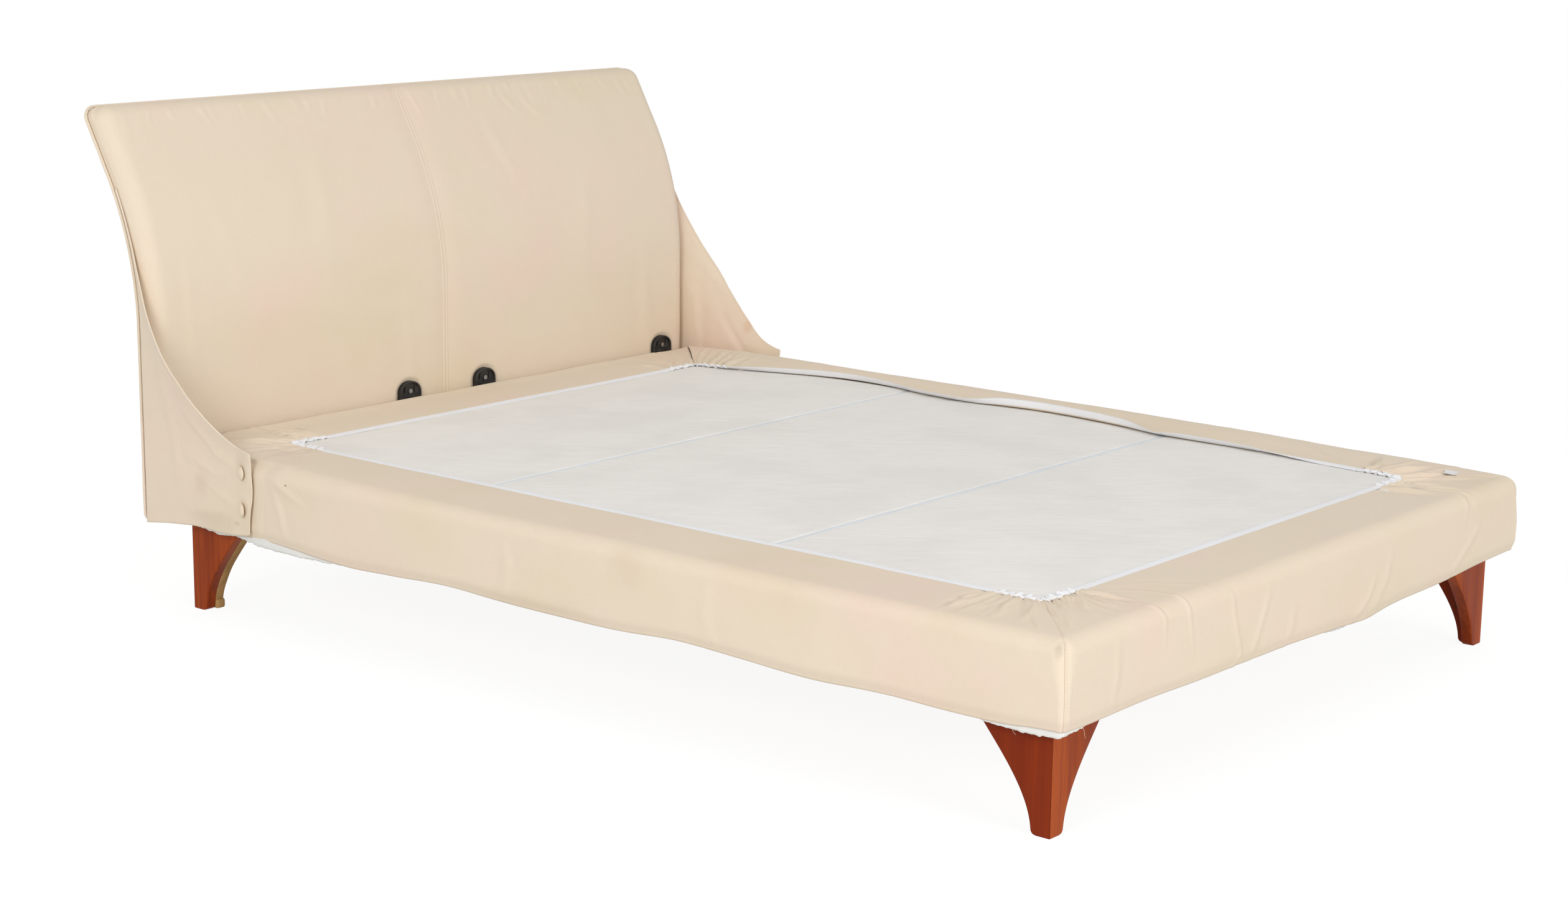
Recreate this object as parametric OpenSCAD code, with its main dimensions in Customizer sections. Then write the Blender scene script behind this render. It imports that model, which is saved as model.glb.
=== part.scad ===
// Upholstered platform bed with a leaning headboard, slip cover and bracket legs.
// X runs across the bed, Y from foot to head, Z up from the floor.

/* [Base] */
// Width over the covered sides
base_w = 1580; // [1000:10:1900]
// Length from the covered foot face to the covered head face
base_len = 2146; // [1900:2:2300]
// Height of the covered deck above the floor
deck_h = 335; // [300:5:420]
// Height of the cover's hem above the floor
hem_z = 178; // [176:2:200]
// Height of the underside of the rails
rail_z = 186; // [182:2:204]
// Thickness of the side and foot rails
rail_t = 25; // [18:1:35]
// Thickness of the head rail
head_rail_t = 38; // [25:1:45]
// Thickness of the foam strips on the side rails
side_foam_t = 13; // [6:1:20]
// Thickness of the foam strip on the foot rail
foot_foam_t = 19; // [6:1:25]
// Height of the two cross bearers
bearer_h = 90; // [50:5:110]
// Thickness of the two cross bearers
bearer_t = 40; // [25:1:60]

/* [Deck] */
// Thickness of the deck boards
board_t = 12; // [9:1:16]
// Thickness of the deck pads at their crown
deck_pad_t = 14.5; // [12:0.5:20]
// Height of the crown on each deck pad
deck_crown = 3.5; // [1:0.5:6]
// Length of the middle deck panel between the two grooves
mid_panel_len = 684; // [600:2:720]
// Width of each groove between the deck panels
groove_w = 8; // [5:1:14]

/* [Cover] */
// Thickness of the cover cloth
cloth_t = 2; // [1:0.5:3]
// Radius of the covered top edges
edge_r = 28; // [16:1:34]
// Width of the cover's border on the deck along the sides
border_side = 173; // [120:1:220]
// Width of the cover's border on the deck at the foot
border_foot = 158; // [120:1:220]
// Width of the cover's border on the deck at the head
border_head = 174; // [120:1:220]
// Width of the white elastic binding
binding_w = 10; // [6:1:16]
// Corner radius of the elastic binding
binding_r = 26; // [10:1:40]
// Depth of the lining that shows below the hem
lining_drop = 8; // [3:1:12]

/* [Headboard] */
// Gap between the base's head face and the headboard
hb_gap = 6; // [3:1:10]
// Height of the headboard's lower end above the floor
hb_bottom = 190; // [184:2:220]
// Height at which the headboard starts to lean back
hb_bend_z = 560; // [480:5:640]
// Radius of the lean on the front face
hb_bend_r = 640; // [500:10:900]
// Lean of the upper part from the vertical
hb_lean = 30; // [15:1:35]
// Length of the straight upper part
hb_upper_len = 141; // [80:1:180]
// Thickness of the bent plywood shell
shell_t = 14; // [10:1:18]
// Thickness of the headboard's foam
hb_foam_t = 30; // [22:1:40]
// Corner radius of the top corners
hb_corner_r = 26; // [15:1:40]
// Depth of the valley that the centre seam draws into the pad
seam_dip = 3; // [1:0.5:5]
// Diameter of the piping
piping_d = 6; // [4:0.5:10]

/* [Wings] */
// Thickness of the folded cloth of a wing
wing_t = 4; // [3:0.5:6]
// Height at which a wing leaves the piping
wing_top_z = 832; // [760:4:860]
// Distance from the head face to a wing's front edge
wing_reach = 286; // [220:2:340]
// Height of the wing's front edge above the deck
wing_front_rise = 21; // [10:1:40]
// Height of the wing's waist above the deck
wing_waist_rise = 227; // [190:1:260]
// Distance from the head face to the wing's waist
wing_waist_reach = 30; // [10:1:80]
// Most that a wing's free edge stands out from the side
wing_flare = 34; // [0:1:45]
// Diameter of the covered buttons
button_d = 28; // [20:1:34]
// Thickness of the covered buttons
button_t = 8; // [5:0.5:10]
// Height of the lower button
button_low_z = 242; // [230:1:260]
// Distance between a wing's two buttons
button_pitch = 73; // [50:1:80]
// Distance from a wing's front edge to the middle of its buttons
button_edge = 36; // [26:1:60]

/* [Legs] */
// Thickness of the leg boards
leg_t = 22; // [16:1:28]
// Width of a leg board at the floor
leg_foot_w = 38; // [30:1:44]
// Width of a leg board under the rails
leg_top_w = 150; // [110:2:180]
// Distance from the top of the rails down to the top of the leg boards
leg_top_drop = 54; // [46:2:70]
// Radius of a leg's toe
leg_toe_r = 10; // [4:1:14]
// Side of the foot legs' square glue blocks
block_w = 18; // [12:1:24]
// Thickness of the head legs' backing boards
backing_t = 20; // [14:1:24]
// Height of the blocks glued to the head legs' toes
toe_block_h = 18; // [10:1:30]
// Height at which the foot legs' glue blocks start
block_low_z = 72; // [50:2:120]
// Diameter of the leg bolts
leg_bolt_d = 6; // [4:0.5:8]

/* [Headboard brackets] */
// Distance from the centre to the inner brackets
bracket_in_x = 113; // [80:1:180]
// Distance from the base's side to the middle of the outer brackets
bracket_side_gap = 87; // [60:1:160]
// Width of a bracket plate
bracket_w = 61; // [50:1:80]
// Thickness of a bracket plate
bracket_t = 11; // [9:0.5:14]
// Height of a bracket plate above the deck
bracket_rise = 35; // [25:1:50]
// Height of a bracket plate's lower end
bracket_bottom = 205; // [200:1:240]
// Diameter of the headboard bolts
hb_bolt_d = 8; // [6:0.5:10]

/* [Hidden] */

$fn = 32;
eps = 0.01;
// Running clearance between soft pieces
soft_gap = 0.3;
// Extra diameter of a bolt hole
bolt_slack = 0.8;

cotton = [0.90, 0.83, 0.74];
ticking = [0.88, 0.87, 0.85];
elastic = [0.93, 0.93, 0.94];
cherry = [0.55, 0.22, 0.13];
raw_wood = [0.71, 0.55, 0.36];
plywood = [0.76, 0.62, 0.43];
foam = [0.90, 0.86, 0.66];
black_plastic = [0.13, 0.13, 0.12];
steel = [0.62, 0.62, 0.64];

half_w = base_w / 2;
// Outer faces of the frame, under cloth and foam
rail_out_x = half_w - cloth_t - side_foam_t;
rail_in_x = rail_out_x - rail_t;
foot_out_y = cloth_t + foot_foam_t;
foot_in_y = foot_out_y + rail_t;
head_out_y = base_len - cloth_t;
head_in_y = head_out_y - head_rail_t;
rail_top = deck_h - cloth_t - soft_gap - deck_pad_t - board_t;
board_top = rail_top + board_t;
leg_board_top = rail_top - leg_top_drop;
leg_flange_h = leg_board_top - rail_z;
mid_y = base_len / 2;
groove_foot_y = mid_y - mid_panel_len / 2;
groove_head_y = mid_y + mid_panel_len / 2;
board_edge_gap = 4;
deck_in_x = half_w - edge_r - cloth_t - board_edge_gap;
// The head end has no foam, so its boards and pad stop short of the rounded edge
board_end_y = head_out_y - board_edge_gap;
pad_edge_lap = 6;
pad_end_y = base_len - edge_r + pad_edge_lap;

// Headboard lengths along its front face
hb_front_y = base_len + hb_gap;
hb_low_len = hb_bend_z - hb_bottom;
hb_arc_len = hb_bend_r * hb_lean * PI / 180;
hb_len = hb_low_len + hb_arc_len + hb_upper_len;
hb_t = cloth_t + hb_foam_t + shell_t + cloth_t;
hb_half = half_w;
piping_r = piping_d / 2;

// Lean angle at a distance s along the front face
function lean_at(s) =
    s < hb_low_len ? 0 :
    s < hb_low_len + hb_arc_len ? (s - hb_low_len) / hb_bend_r * 180 / PI : hb_lean;

// Point in [y, z] at a distance s along the front face
function front_at(s) =
    s < hb_low_len ? [hb_front_y, hb_bottom + s] :
    let (a = lean_at(s), extra = max(0, s - hb_low_len - hb_arc_len))
    [hb_front_y + hb_bend_r * (1 - cos(a)) + extra * sin(a),
     hb_bend_z + hb_bend_r * sin(a) + extra * cos(a)];

// Point in [y, z] at a distance s along the face and a depth n behind it
function hb_at(s, n) =
    let (a = lean_at(s), p = front_at(s)) [p[0] + n * cos(a), p[1] - n * sin(a)];

// Distance along the face at which the face at depth n reaches the height z
function s_at_z(z, n) =
    z < hb_bend_z ? z - hb_bottom :
    let (arc_top = hb_bend_z + (hb_bend_r - n) * sin(hb_lean))
    z < arc_top ? hb_low_len + hb_bend_r * asin((z - hb_bend_z) / (hb_bend_r - n)) * PI / 180 :
    hb_low_len + hb_arc_len + (z - arc_top) / cos(hb_lean);

back_top = hb_at(hb_len + piping_r, hb_t - piping_r);
total_len = back_top[0] + piping_r;

// Stands the bed with the middle of its length on the origin
module place() {
    translate([0, -total_len / 2, 0]) children();
}

module at_corner(side, end_y, turn) {
    translate([side * rail_in_x, end_y, 0]) mirror([side > 0 ? 1 : 0, 0, 0])
        mirror([0, turn, 0]) children();
}

// Facets of a closed grid of nu by nv points on two sheets, front then back
function grid_faces(nu, nv) =
    let (n = nu * nv)
    concat(
        [for (j = [0:nv - 2]) for (i = [0:nu - 2])
            each [[j * nu + i, j * nu + i + 1, (j + 1) * nu + i + 1],
                  [j * nu + i, (j + 1) * nu + i + 1, (j + 1) * nu + i]]],
        [for (j = [0:nv - 2]) for (i = [0:nu - 2])
            each [[n + j * nu + i, n + (j + 1) * nu + i + 1, n + j * nu + i + 1],
                  [n + j * nu + i, n + (j + 1) * nu + i, n + (j + 1) * nu + i + 1]]],
        [for (i = [0:nu - 2])
            each [[i, n + i, n + i + 1], [i, n + i + 1, i + 1]]],
        [for (i = [0:nu - 2]) let (k = (nv - 1) * nu + i)
            each [[k, n + k + 1, n + k], [k, k + 1, n + k + 1]]],
        [for (j = [0:nv - 2]) let (k = j * nu)
            each [[k, n + k + nu, n + k], [k, k + nu, n + k + nu]]],
        [for (j = [0:nv - 2]) let (k = j * nu + nu - 1)
            each [[k, n + k, n + k + nu], [k, n + k + nu, k + nu]]]
    );

// Depth lost at a distance e from an edge rounded with the radius r
function edge_drop(e, r) = e >= r ? 0 : r - sqrt(r * r - (r - e) * (r - e));

// Points of an arc about c from angle a0 to a1
function arc(c, r, a0, a1, n = 8) =
    [for (i = [0:n]) let (a = a0 + (a1 - a0) * i / n) c + r * [cos(a), sin(a)]];

// Rounded rectangle from [x0, y0] to [x1, y1]
function round_rect(x0, y0, x1, y1, r) = concat(
    arc([x1 - r, y0 + r], r, -90, 0), arc([x1 - r, y1 - r], r, 0, 90),
    arc([x0 + r, y1 - r], r, 90, 180), arc([x0 + r, y0 + r], r, 180, 270));

// Frame of the base

leg_bolt_reach = leg_top_w * 0.62;
leg_bolt_heights = [rail_z + leg_flange_h * 0.3, rail_z + leg_flange_h * 0.75];
rail_bolt_depth = rail_t * 0.8;

module rail_holes(end_y, turn, side) {
    for (z = leg_bolt_heights)
        translate([side * (rail_in_x - 1), end_y + turn * leg_bolt_reach, z])
            rotate([0, side * 90, 0]) cylinder(d = leg_bolt_d + bolt_slack, h = rail_bolt_depth + 1);
}

module side_rail(side) {
    color(plywood) place() difference() {
        translate([side > 0 ? rail_in_x : -rail_out_x, foot_in_y, rail_z])
            cube([rail_t, head_in_y - foot_in_y, rail_top - rail_z]);
        rail_holes(foot_in_y, 1, side);
        rail_holes(head_in_y, -1, side);
    }
}

module side_rail_left() { side_rail(-1); }
module side_rail_right() { side_rail(1); }

// Rail across the bed between y_low and y_high, bolted to the legs from its inner face
module end_rail(y_low, y_high, out) {
    y_inner = out > 0 ? y_low : y_high;
    difference() {
        translate([-rail_out_x, y_low, rail_z])
            cube([2 * rail_out_x, y_high - y_low, rail_top - rail_z]);
        for (side = [-1, 1]) for (z = leg_bolt_heights)
            translate([side * (rail_in_x - leg_bolt_reach), y_inner - out, z])
                rotate([-out * 90, 0, 0]) cylinder(d = leg_bolt_d + bolt_slack, h = rail_bolt_depth + 1);
    }
}

module foot_rail() {
    color(plywood) place() end_rail(foot_out_y, foot_in_y, -1);
}

bracket_out_x = half_w - bracket_side_gap;
bracket_xs = [-bracket_out_x, -bracket_in_x, bracket_in_x, bracket_out_x];
// The bolts pass just above the leg boards
hb_bolt_z = leg_board_top + 2.5 * hb_bolt_d;

// Bores for the headboard bolts from y0 to y1
module hb_bolt_bores(y0, y1, d) {
    for (x = bracket_xs) translate([x, y0, hb_bolt_z]) rotate([-90, 0, 0])
        cylinder(d = d, h = y1 - y0);
}

module head_rail() {
    color(plywood) place() difference() {
        end_rail(head_in_y, head_out_y, 1);
        hb_bolt_bores(head_in_y - 1, head_out_y + 1, hb_bolt_d + bolt_slack);
    }
}

module cross_bearer(y) {
    color(raw_wood) place()
        translate([-rail_in_x, y - bearer_t / 2, rail_top - bearer_h])
            cube([2 * rail_in_x, bearer_t, bearer_h]);
}

module cross_bearer_foot() { cross_bearer(groove_foot_y); }
module cross_bearer_head() { cross_bearer(groove_head_y); }

// Deck of three boards, each with its own pad

module deck_board(y0, y1) {
    color(plywood) place()
        translate([-rail_out_x, y0, rail_top]) cube([2 * rail_out_x, y1 - y0, board_t]);
}

board_gap = 2;
module deck_board_foot() { deck_board(foot_out_y, groove_foot_y - board_gap / 2); }
module deck_board_middle() {
    deck_board(groove_foot_y + board_gap / 2, groove_head_y - board_gap / 2);
}
module deck_board_head() { deck_board(groove_head_y + board_gap / 2, board_end_y); }

// Pad between y0 and y1, crowned on top, flat below, with drawn-in sides
module deck_pad(y0, y1) {
    nu = 17;
    nv = 11;
    half = deck_in_x;
    draw_in = 3;
    us = [for (i = [0:nu - 1]) -cos(180 * i / (nu - 1))];
    vs = [for (j = [0:nv - 1]) -cos(180 * j / (nv - 1))];
    side_h = deck_pad_t - deck_crown;
    function flat_at(u, v) = [
        u * (half - draw_in * (1 - v * v)),
        (y0 + y1) / 2 + v * ((y1 - y0) / 2 - draw_in * 0.3 * (1 - u * u))];
    top = [for (v = vs) for (u = us) let (p = flat_at(u, v))
        [p[0], p[1], board_top + side_h
            + deck_crown * (1 - pow(abs(u), 6)) * (1 - pow(abs(v), 6))]];
    low = [for (v = vs) for (u = us) let (p = flat_at(u, v)) [p[0], p[1], board_top]];
    color(ticking) place() polyhedron(concat(low, top), grid_faces(nu, nv));
}

module deck_pad_foot() { deck_pad(foot_out_y, groove_foot_y - groove_w / 2); }
module deck_pad_middle() {
    deck_pad(groove_foot_y + groove_w / 2, groove_head_y - groove_w / 2);
}
module deck_pad_head() { deck_pad(groove_head_y + groove_w / 2, pad_end_y); }

// Tapes that close the grooves between the pads
module groove_tapes() {
    tape_h = 5;
    tape_end_gap = 6;
    color([0.84, 0.87, 0.91]) place() for (y = [groove_foot_y, groove_head_y])
        translate([tape_end_gap - deck_in_x, y - groove_w / 2 + soft_gap, board_top])
            cube([2 * (deck_in_x - tape_end_gap), groove_w - 2 * soft_gap, tape_h]);
}

// Foam strips on the rails

// Cross-section of a strip with a rounded top, standing out from a rail
module foam_section(t) {
    r = min(t, edge_r - cloth_t);
    polygon(concat([[0, 0], [t, 0]],
        arc([t - r, rail_top - rail_z - r], r, 0, 90, 6), [[0, rail_top - rail_z]]));
}

module side_foam(side) {
    color(foam) place() translate([side * rail_out_x, foot_out_y, rail_z])
        mirror([side > 0 ? 0 : 1, 0, 0]) rotate([90, 0, 0]) mirror([0, 0, 1])
            linear_extrude(head_out_y - foot_out_y - soft_gap)
                foam_section(side_foam_t - soft_gap);
}

module side_foam_left() { side_foam(-1); }
module side_foam_right() { side_foam(1); }

module foot_foam() {
    color(foam) place() translate([-rail_out_x, foot_out_y, rail_z])
        rotate([90, 0, 90]) mirror([1, 0, 0])
            linear_extrude(2 * rail_out_x) foam_section(foot_foam_t - soft_gap);
}

// Slip cover of the base: four panels, each turned over on to the deck

// Cross-section of a panel: outwards is +X, the border runs in towards the deck
module cover_section(border) {
    r_in = edge_r - cloth_t;
    c = [-edge_r, deck_h - edge_r];
    polygon(concat([[0, hem_z]], arc(c, edge_r, 0, 90), [[-border, deck_h]],
        [[-border, deck_h - cloth_t]], arc(c, r_in, 90, 0), [[-cloth_t, hem_z]]));
}

// Plan of the four panels, mitred at the corners
plan_out = [[-half_w, 0], [half_w, 0], [half_w, base_len], [-half_w, base_len]];
plan_in = [[-half_w + border_side, border_foot], [half_w - border_side, border_foot],
    [half_w - border_side, base_len - border_head], [-half_w + border_side, base_len - border_head]];

module panel_plan(i) {
    k = (i + 1) % 4;
    translate([0, 0, hem_z - 1]) linear_extrude(deck_h)
        polygon([plan_out[i], plan_out[k], plan_in[k], plan_in[i]]);
}

module cover_side(side, i) {
    color(cotton) place() intersection() {
        translate([side * half_w, 0, 0]) mirror([side > 0 ? 0 : 1, 0, 0])
            rotate([90, 0, 0]) mirror([0, 0, 1]) linear_extrude(base_len)
                cover_section(border_side);
        panel_plan(i);
    }
}

module cover_side_left() { cover_side(-1, 3); }
module cover_side_right() { cover_side(1, 1); }

module cover_foot() {
    color(cotton) place() intersection() {
        translate([-half_w, 0, 0]) rotate([90, 0, 90]) linear_extrude(base_w)
            mirror([1, 0, 0]) cover_section(border_foot);
        panel_plan(0);
    }
}

module cover_head() {
    color(cotton) place() difference() {
        intersection() {
            translate([-half_w, base_len, 0]) rotate([90, 0, 90]) linear_extrude(base_w)
                cover_section(border_head);
            panel_plan(2);
        }
        hb_bolt_bores(head_out_y - 1, base_len + 1, hb_bolt_d + bolt_slack);
    }
}

module elastic_binding() {
    x1 = half_w - border_side - soft_gap;
    y0 = border_foot + soft_gap;
    y1 = base_len - border_head - soft_gap;
    binding_h = 3;
    color(elastic) place() translate([0, 0, deck_h - cloth_t]) linear_extrude(binding_h)
        difference() {
            polygon(round_rect(-x1, y0, x1, y1, binding_r));
            polygon(round_rect(-x1 + binding_w, y0 + binding_w, x1 - binding_w,
                y1 - binding_w, binding_r - binding_w));
        }
}

module hem_lining() {
    lining_t = 1.5;
    top = rail_z - soft_gap;
    d = cloth_t + soft_gap;
    color(elastic) place() difference() {
        translate([-half_w + d, d, hem_z - lining_drop])
            cube([base_w - 2 * d, base_len - 2 * d, top - hem_z + lining_drop]);
        translate([-half_w + d + lining_t, d + lining_t, 0])
            cube([base_w - 2 * (d + lining_t), base_len - 2 * (d + lining_t), deck_h]);
    }
}

// Headboard

// Steps along the face: two for the straight parts, more in the bend
face_steps = concat([0, 12, hb_low_len / 2, hb_low_len],
    [for (i = [1:8]) hb_low_len + hb_arc_len * i / 8],
    [for (k = [0.4, 0.7, 0.85, 0.94, 1]) hb_low_len + hb_arc_len + hb_upper_len * k]);

// Layer of the headboard between the depths n0 and n1, as an extruded outline
module hb_layer(n0, n1, half) {
    front = [for (s = face_steps) hb_at(s, n0)];
    back = [for (i = [len(face_steps) - 1:-1:0]) hb_at(face_steps[i], n1)];
    rotate([90, 0, 90]) translate([0, 0, -half]) linear_extrude(2 * half)
        polygon(concat(front, back));
}

// Rounds the two top corners of a layer in the plane of the leaning part
module hb_corner_cut(half) {
    p = hb_at(hb_len, 0);
    translate([0, p[0], p[1]]) rotate([-hb_lean, 0, 0]) for (side = [-1, 1])
        translate([side * half, 0, 0]) rotate([-90, 0, 0]) difference() {
            translate([-hb_corner_r, -1, -1]) cube([2 * hb_corner_r, hb_corner_r + 1, hb_t + 2]);
            translate([-side * hb_corner_r, hb_corner_r, -2])
                cylinder(r = hb_corner_r, h = hb_t + 4);
            translate([side > 0 ? -2 * hb_corner_r : hb_corner_r, -2, -2])
                cube([hb_corner_r, hb_corner_r + 3, hb_t + 4]);
        }
}

module headboard_shell() {
    n0 = cloth_t + hb_foam_t;
    nut_d = 2 * hb_bolt_d;
    color(plywood) place() difference() {
        hb_layer(n0, n0 + shell_t, hb_half - cloth_t - soft_gap);
        hb_corner_cut(hb_half - cloth_t - soft_gap);
        hb_bolt_bores(hb_front_y + n0 - 1, hb_front_y + hb_t, hb_bolt_d + bolt_slack);
        hb_bolt_bores(hb_front_y + n0 + shell_t / 2, hb_front_y + hb_t, nut_d + bolt_slack);
        bracket_screw_bores();
    }
}

// Depth of the covered front behind the face line at [x, s]
hb_side_r = 20;
hb_top_r = hb_foam_t - 3;
hb_low_r = 10;
function front_depth(x, s) =
    edge_drop(max(0, hb_half - abs(x)), hb_side_r) + edge_drop(max(0, hb_len - s), hb_top_r)
    + edge_drop(max(0, s), hb_low_r) + seam_dip * exp(-pow(x / 26, 2));

// Half width of the board at s, drawn in round the top corners
function half_at(s) = let (e = hb_len - s) hb_half - edge_drop(max(0, e), hb_corner_r);

pad_cols = [0, 0.02, 0.06, 0.2, 0.5, 0.8, 0.93, 0.975, 0.993, 1];

// Point of the soft front: share f of the half width, distance s, extra depth n
function soft_point(f, s, n, inset) =
    let (half = half_at(s), x = f * half, d = min(front_depth(x, s), hb_foam_t - 2),
         p = hb_at(s, d + n))
    [f * (half - inset), p[0], p[1]];

module headboard_foam() {
    inset = cloth_t + soft_gap;
    fs = concat([for (i = [len(pad_cols) - 1:-1:1]) -pad_cols[i]], pad_cols);
    nu = len(fs);
    front = [for (s = face_steps) for (f = fs) soft_point(f, s, cloth_t + soft_gap, inset)];
    back = [for (s = face_steps) for (f = fs)
        let (p = hb_at(s, cloth_t + hb_foam_t)) [f * (half_at(s) - inset), p[0], p[1]]];
    color(foam) place() difference() {
        polyhedron(concat(front, back), grid_faces(nu, len(face_steps)));
        bracket_pockets();
        hb_bolt_bores(hb_front_y - 1, hb_front_y + hb_t, hb_bolt_d + bolt_slack);
        bracket_screw_bores();
    }
}

module hb_cover_half(side) {
    nu = len(pad_cols);
    fs = side > 0 ? pad_cols : [for (i = [nu - 1:-1:0]) -pad_cols[i]];
    front = [for (s = face_steps) for (f = fs) soft_point(f, s, 0, 0)];
    back = [for (s = face_steps) for (f = fs) soft_point(f, s, cloth_t, 0)];
    color(cotton) place() difference() {
        polyhedron(concat(front, back), grid_faces(nu, len(face_steps)));
        bracket_pockets();
    }
}

module headboard_cover_left() { hb_cover_half(-1); }
module headboard_cover_right() { hb_cover_half(1); }

module headboard_back_cover() {
    color(cotton) place() difference() {
        hb_layer(hb_t - cloth_t + soft_gap, hb_t, hb_half - eps);
        hb_corner_cut(hb_half - eps);
    }
}

// Ring of the piping at a centre c, with across and normal directions
function ring(c, a, b, r, n = 8) = [for (i = [0:n - 1])
    c + r * (cos(360 * i / n) * a + sin(360 * i / n) * b)];

module headboard_piping() {
    sides = 8;
    n = hb_t - piping_r;
    r_out = hb_corner_r + piping_r + soft_gap;
    edge_x = hb_half + piping_r + soft_gap;
    s_end = hb_len + piping_r + soft_gap;
    s_turn = s_end - r_out;
    rise = [for (s = concat([0, hb_low_len / 2, hb_low_len],
        [for (i = [1:8]) hb_low_len + hb_arc_len * i / 8], [s_turn]))
        [-edge_x, s, 180]];
    turn = [for (i = [1:6]) let (a = 180 - 15 * i)
        [-edge_x + r_out + r_out * cos(a), s_turn + r_out * sin(a), a]];
    half_path = concat(rise, turn);
    path = concat(half_path, [for (i = [len(half_path) - 1:-1:0])
        [-half_path[i][0], half_path[i][1], 180 - half_path[i][2]]]);
    rings = [for (q = path)
        let (a = lean_at(q[1]), p = hb_at(q[1], n),
             up = [0, sin(a), cos(a)], back = [0, cos(a), -sin(a)],
             out = cos(q[2]) * [1, 0, 0] + sin(q[2]) * up)
        ring([q[0], p[0], p[1]], out, back, piping_r, sides)];
    count = len(rings);
    points = [for (r = rings) each r];
    walls = [for (i = [0:count - 2]) for (k = [0:sides - 1])
        let (a = i * sides + k, b = i * sides + (k + 1) % sides)
        each [[a, b, b + sides], [a, b + sides, a + sides]]];
    ends = [[for (k = [sides - 1:-1:0]) k],
            [for (k = [0:sides - 1]) (count - 1) * sides + k]];
    color(cotton) place() polyhedron(points, concat(walls, ends));
}

// Wings: folded cloth from the piping to the side of the base

// Cubic curve through four control points
function bezier(p, t) = pow(1 - t, 3) * p[0] + 3 * t * pow(1 - t, 2) * p[1]
    + 3 * t * t * (1 - t) * p[2] + pow(t, 3) * p[3];

wing_front_y = base_len - wing_reach;
wing_corner_z = deck_h + wing_front_rise;
// Pulls of the free edge's curve at its tip, waist and front corner
wing_tip_pull = [42, 90];
wing_waist_pull = [62, 78];
wing_front_pull = [90, 10];
wing_waist = [base_len - wing_waist_reach, deck_h + wing_waist_rise];
// The edge leaves the waist downwards with a longer pull than it came with
wing_waist_stretch = 1.36;
// How far the wing's tip and its back edge lie in front of the headboard's back
wing_tip_lap = 2 * piping_d;
wing_back_lap = 1.4 * piping_d;
wing_tip_y = hb_at(s_at_z(wing_top_z, hb_t), hb_t)[0] - wing_tip_lap;
// Free edge from the tip at the piping down to the front corner
wing_edge = concat(
    [for (i = [0:9]) bezier([[wing_tip_y, wing_top_z], [wing_tip_y, wing_top_z] - wing_tip_pull,
        wing_waist + wing_waist_pull, wing_waist], i / 9)],
    [for (i = [1:9]) bezier([wing_waist, wing_waist - wing_waist_stretch * wing_waist_pull,
        [wing_front_y, wing_corner_z] + wing_front_pull, [wing_front_y, wing_corner_z]], i / 9)]);
wing_rows = concat(wing_edge,
    [for (k = [0.25, 0.5, 0.75, 1]) [wing_front_y, wing_corner_z + (hb_bottom - wing_corner_z) * k]]);

// How far the free edge stands out at the height z, most a little below the waist
flare_drop = 52;
flare_z = wing_waist[1] - flare_drop;
flare_spread = 150;
function flare_at(z) = wing_flare * exp(-pow((z - flare_z) / flare_spread, 2));

module wing(side) {
    cols = [0, 0.15, 0.35, 0.55, 0.75, 0.9, 1];
    nu = len(cols);
    back_y = [for (q = wing_rows)
        hb_at(s_at_z(max(q[1], hb_bottom), hb_t), hb_t)[0] - wing_back_lap];
    x_in = half_w + soft_gap;
    function sheet_at(off) = [for (j = [0:len(wing_rows) - 1]) for (c = cols)
        let (q = wing_rows[j], y = back_y[j] + (q[0] - back_y[j]) * c,
             out = q[1] > wing_corner_z ? flare_at(q[1]) : 0)
        [side * (x_in + off + out * pow(c, 1.5)), y, q[1]]];
    faces = grid_faces(nu, len(wing_rows));
    color(cotton) place() polyhedron(concat(sheet_at(0), sheet_at(wing_t)),
        side > 0 ? [for (f = faces) [f[2], f[1], f[0]]] : faces);
}

module wing_left() { wing(-1); }
module wing_right() { wing(1); }

module wing_buttons() {
    x = half_w + soft_gap + wing_t;
    rim = button_t * 0.4;
    ball_r = (button_d * button_d / 4 + pow(button_t - rim, 2)) / (2 * (button_t - rim));
    color(cotton) place() for (side = [-1, 1]) for (k = [0, 1])
        translate([side * x, wing_front_y + button_edge, button_low_z + k * button_pitch])
            rotate([0, side * 90, 0]) {
                cylinder(d = button_d, h = rim);
                intersection() {
                    translate([0, 0, rim - eps]) cylinder(d = button_d, h = button_t);
                    translate([0, 0, button_t - ball_r]) sphere(r = ball_r, $fn = 64);
                }
            }
}

// Brackets that couple the headboard to the head rail

bracket_y = base_len + soft_gap;
bracket_top = deck_h + bracket_rise;

// Outline of a bracket with a half-oval top, grown by g
module bracket_outline(g) {
    r = bracket_w / 2 + g;
    squash = 0.8;
    crown_z = bracket_top + g - r * squash;
    polygon(concat([[-r, bracket_bottom - g], [r, bracket_bottom - g]],
        [for (i = [0:16]) let (a = 180 * i / 16) [r * cos(a), crown_z + r * squash * sin(a)]]));
}

module bracket_shape(y0, y1, g) {
    for (x = bracket_xs) translate([x, y1, 0]) rotate([90, 0, 0])
        linear_extrude(y1 - y0) bracket_outline(g);
}

module bracket_pockets() {
    bracket_shape(bracket_y - 1, bracket_y + bracket_t + soft_gap, soft_gap);
}

screw_drop = 22;
screw_z = bracket_top - screw_drop;
screw_recess = 4;
screw_d = 5;
screw_slack = 0.6;
// How deep the screws reach from the headboard's front, and the free bore past their ends
screw_reach = hb_gap + cloth_t + hb_foam_t + shell_t * 0.6;
screw_end_gap = shell_t * 0.1;

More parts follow.
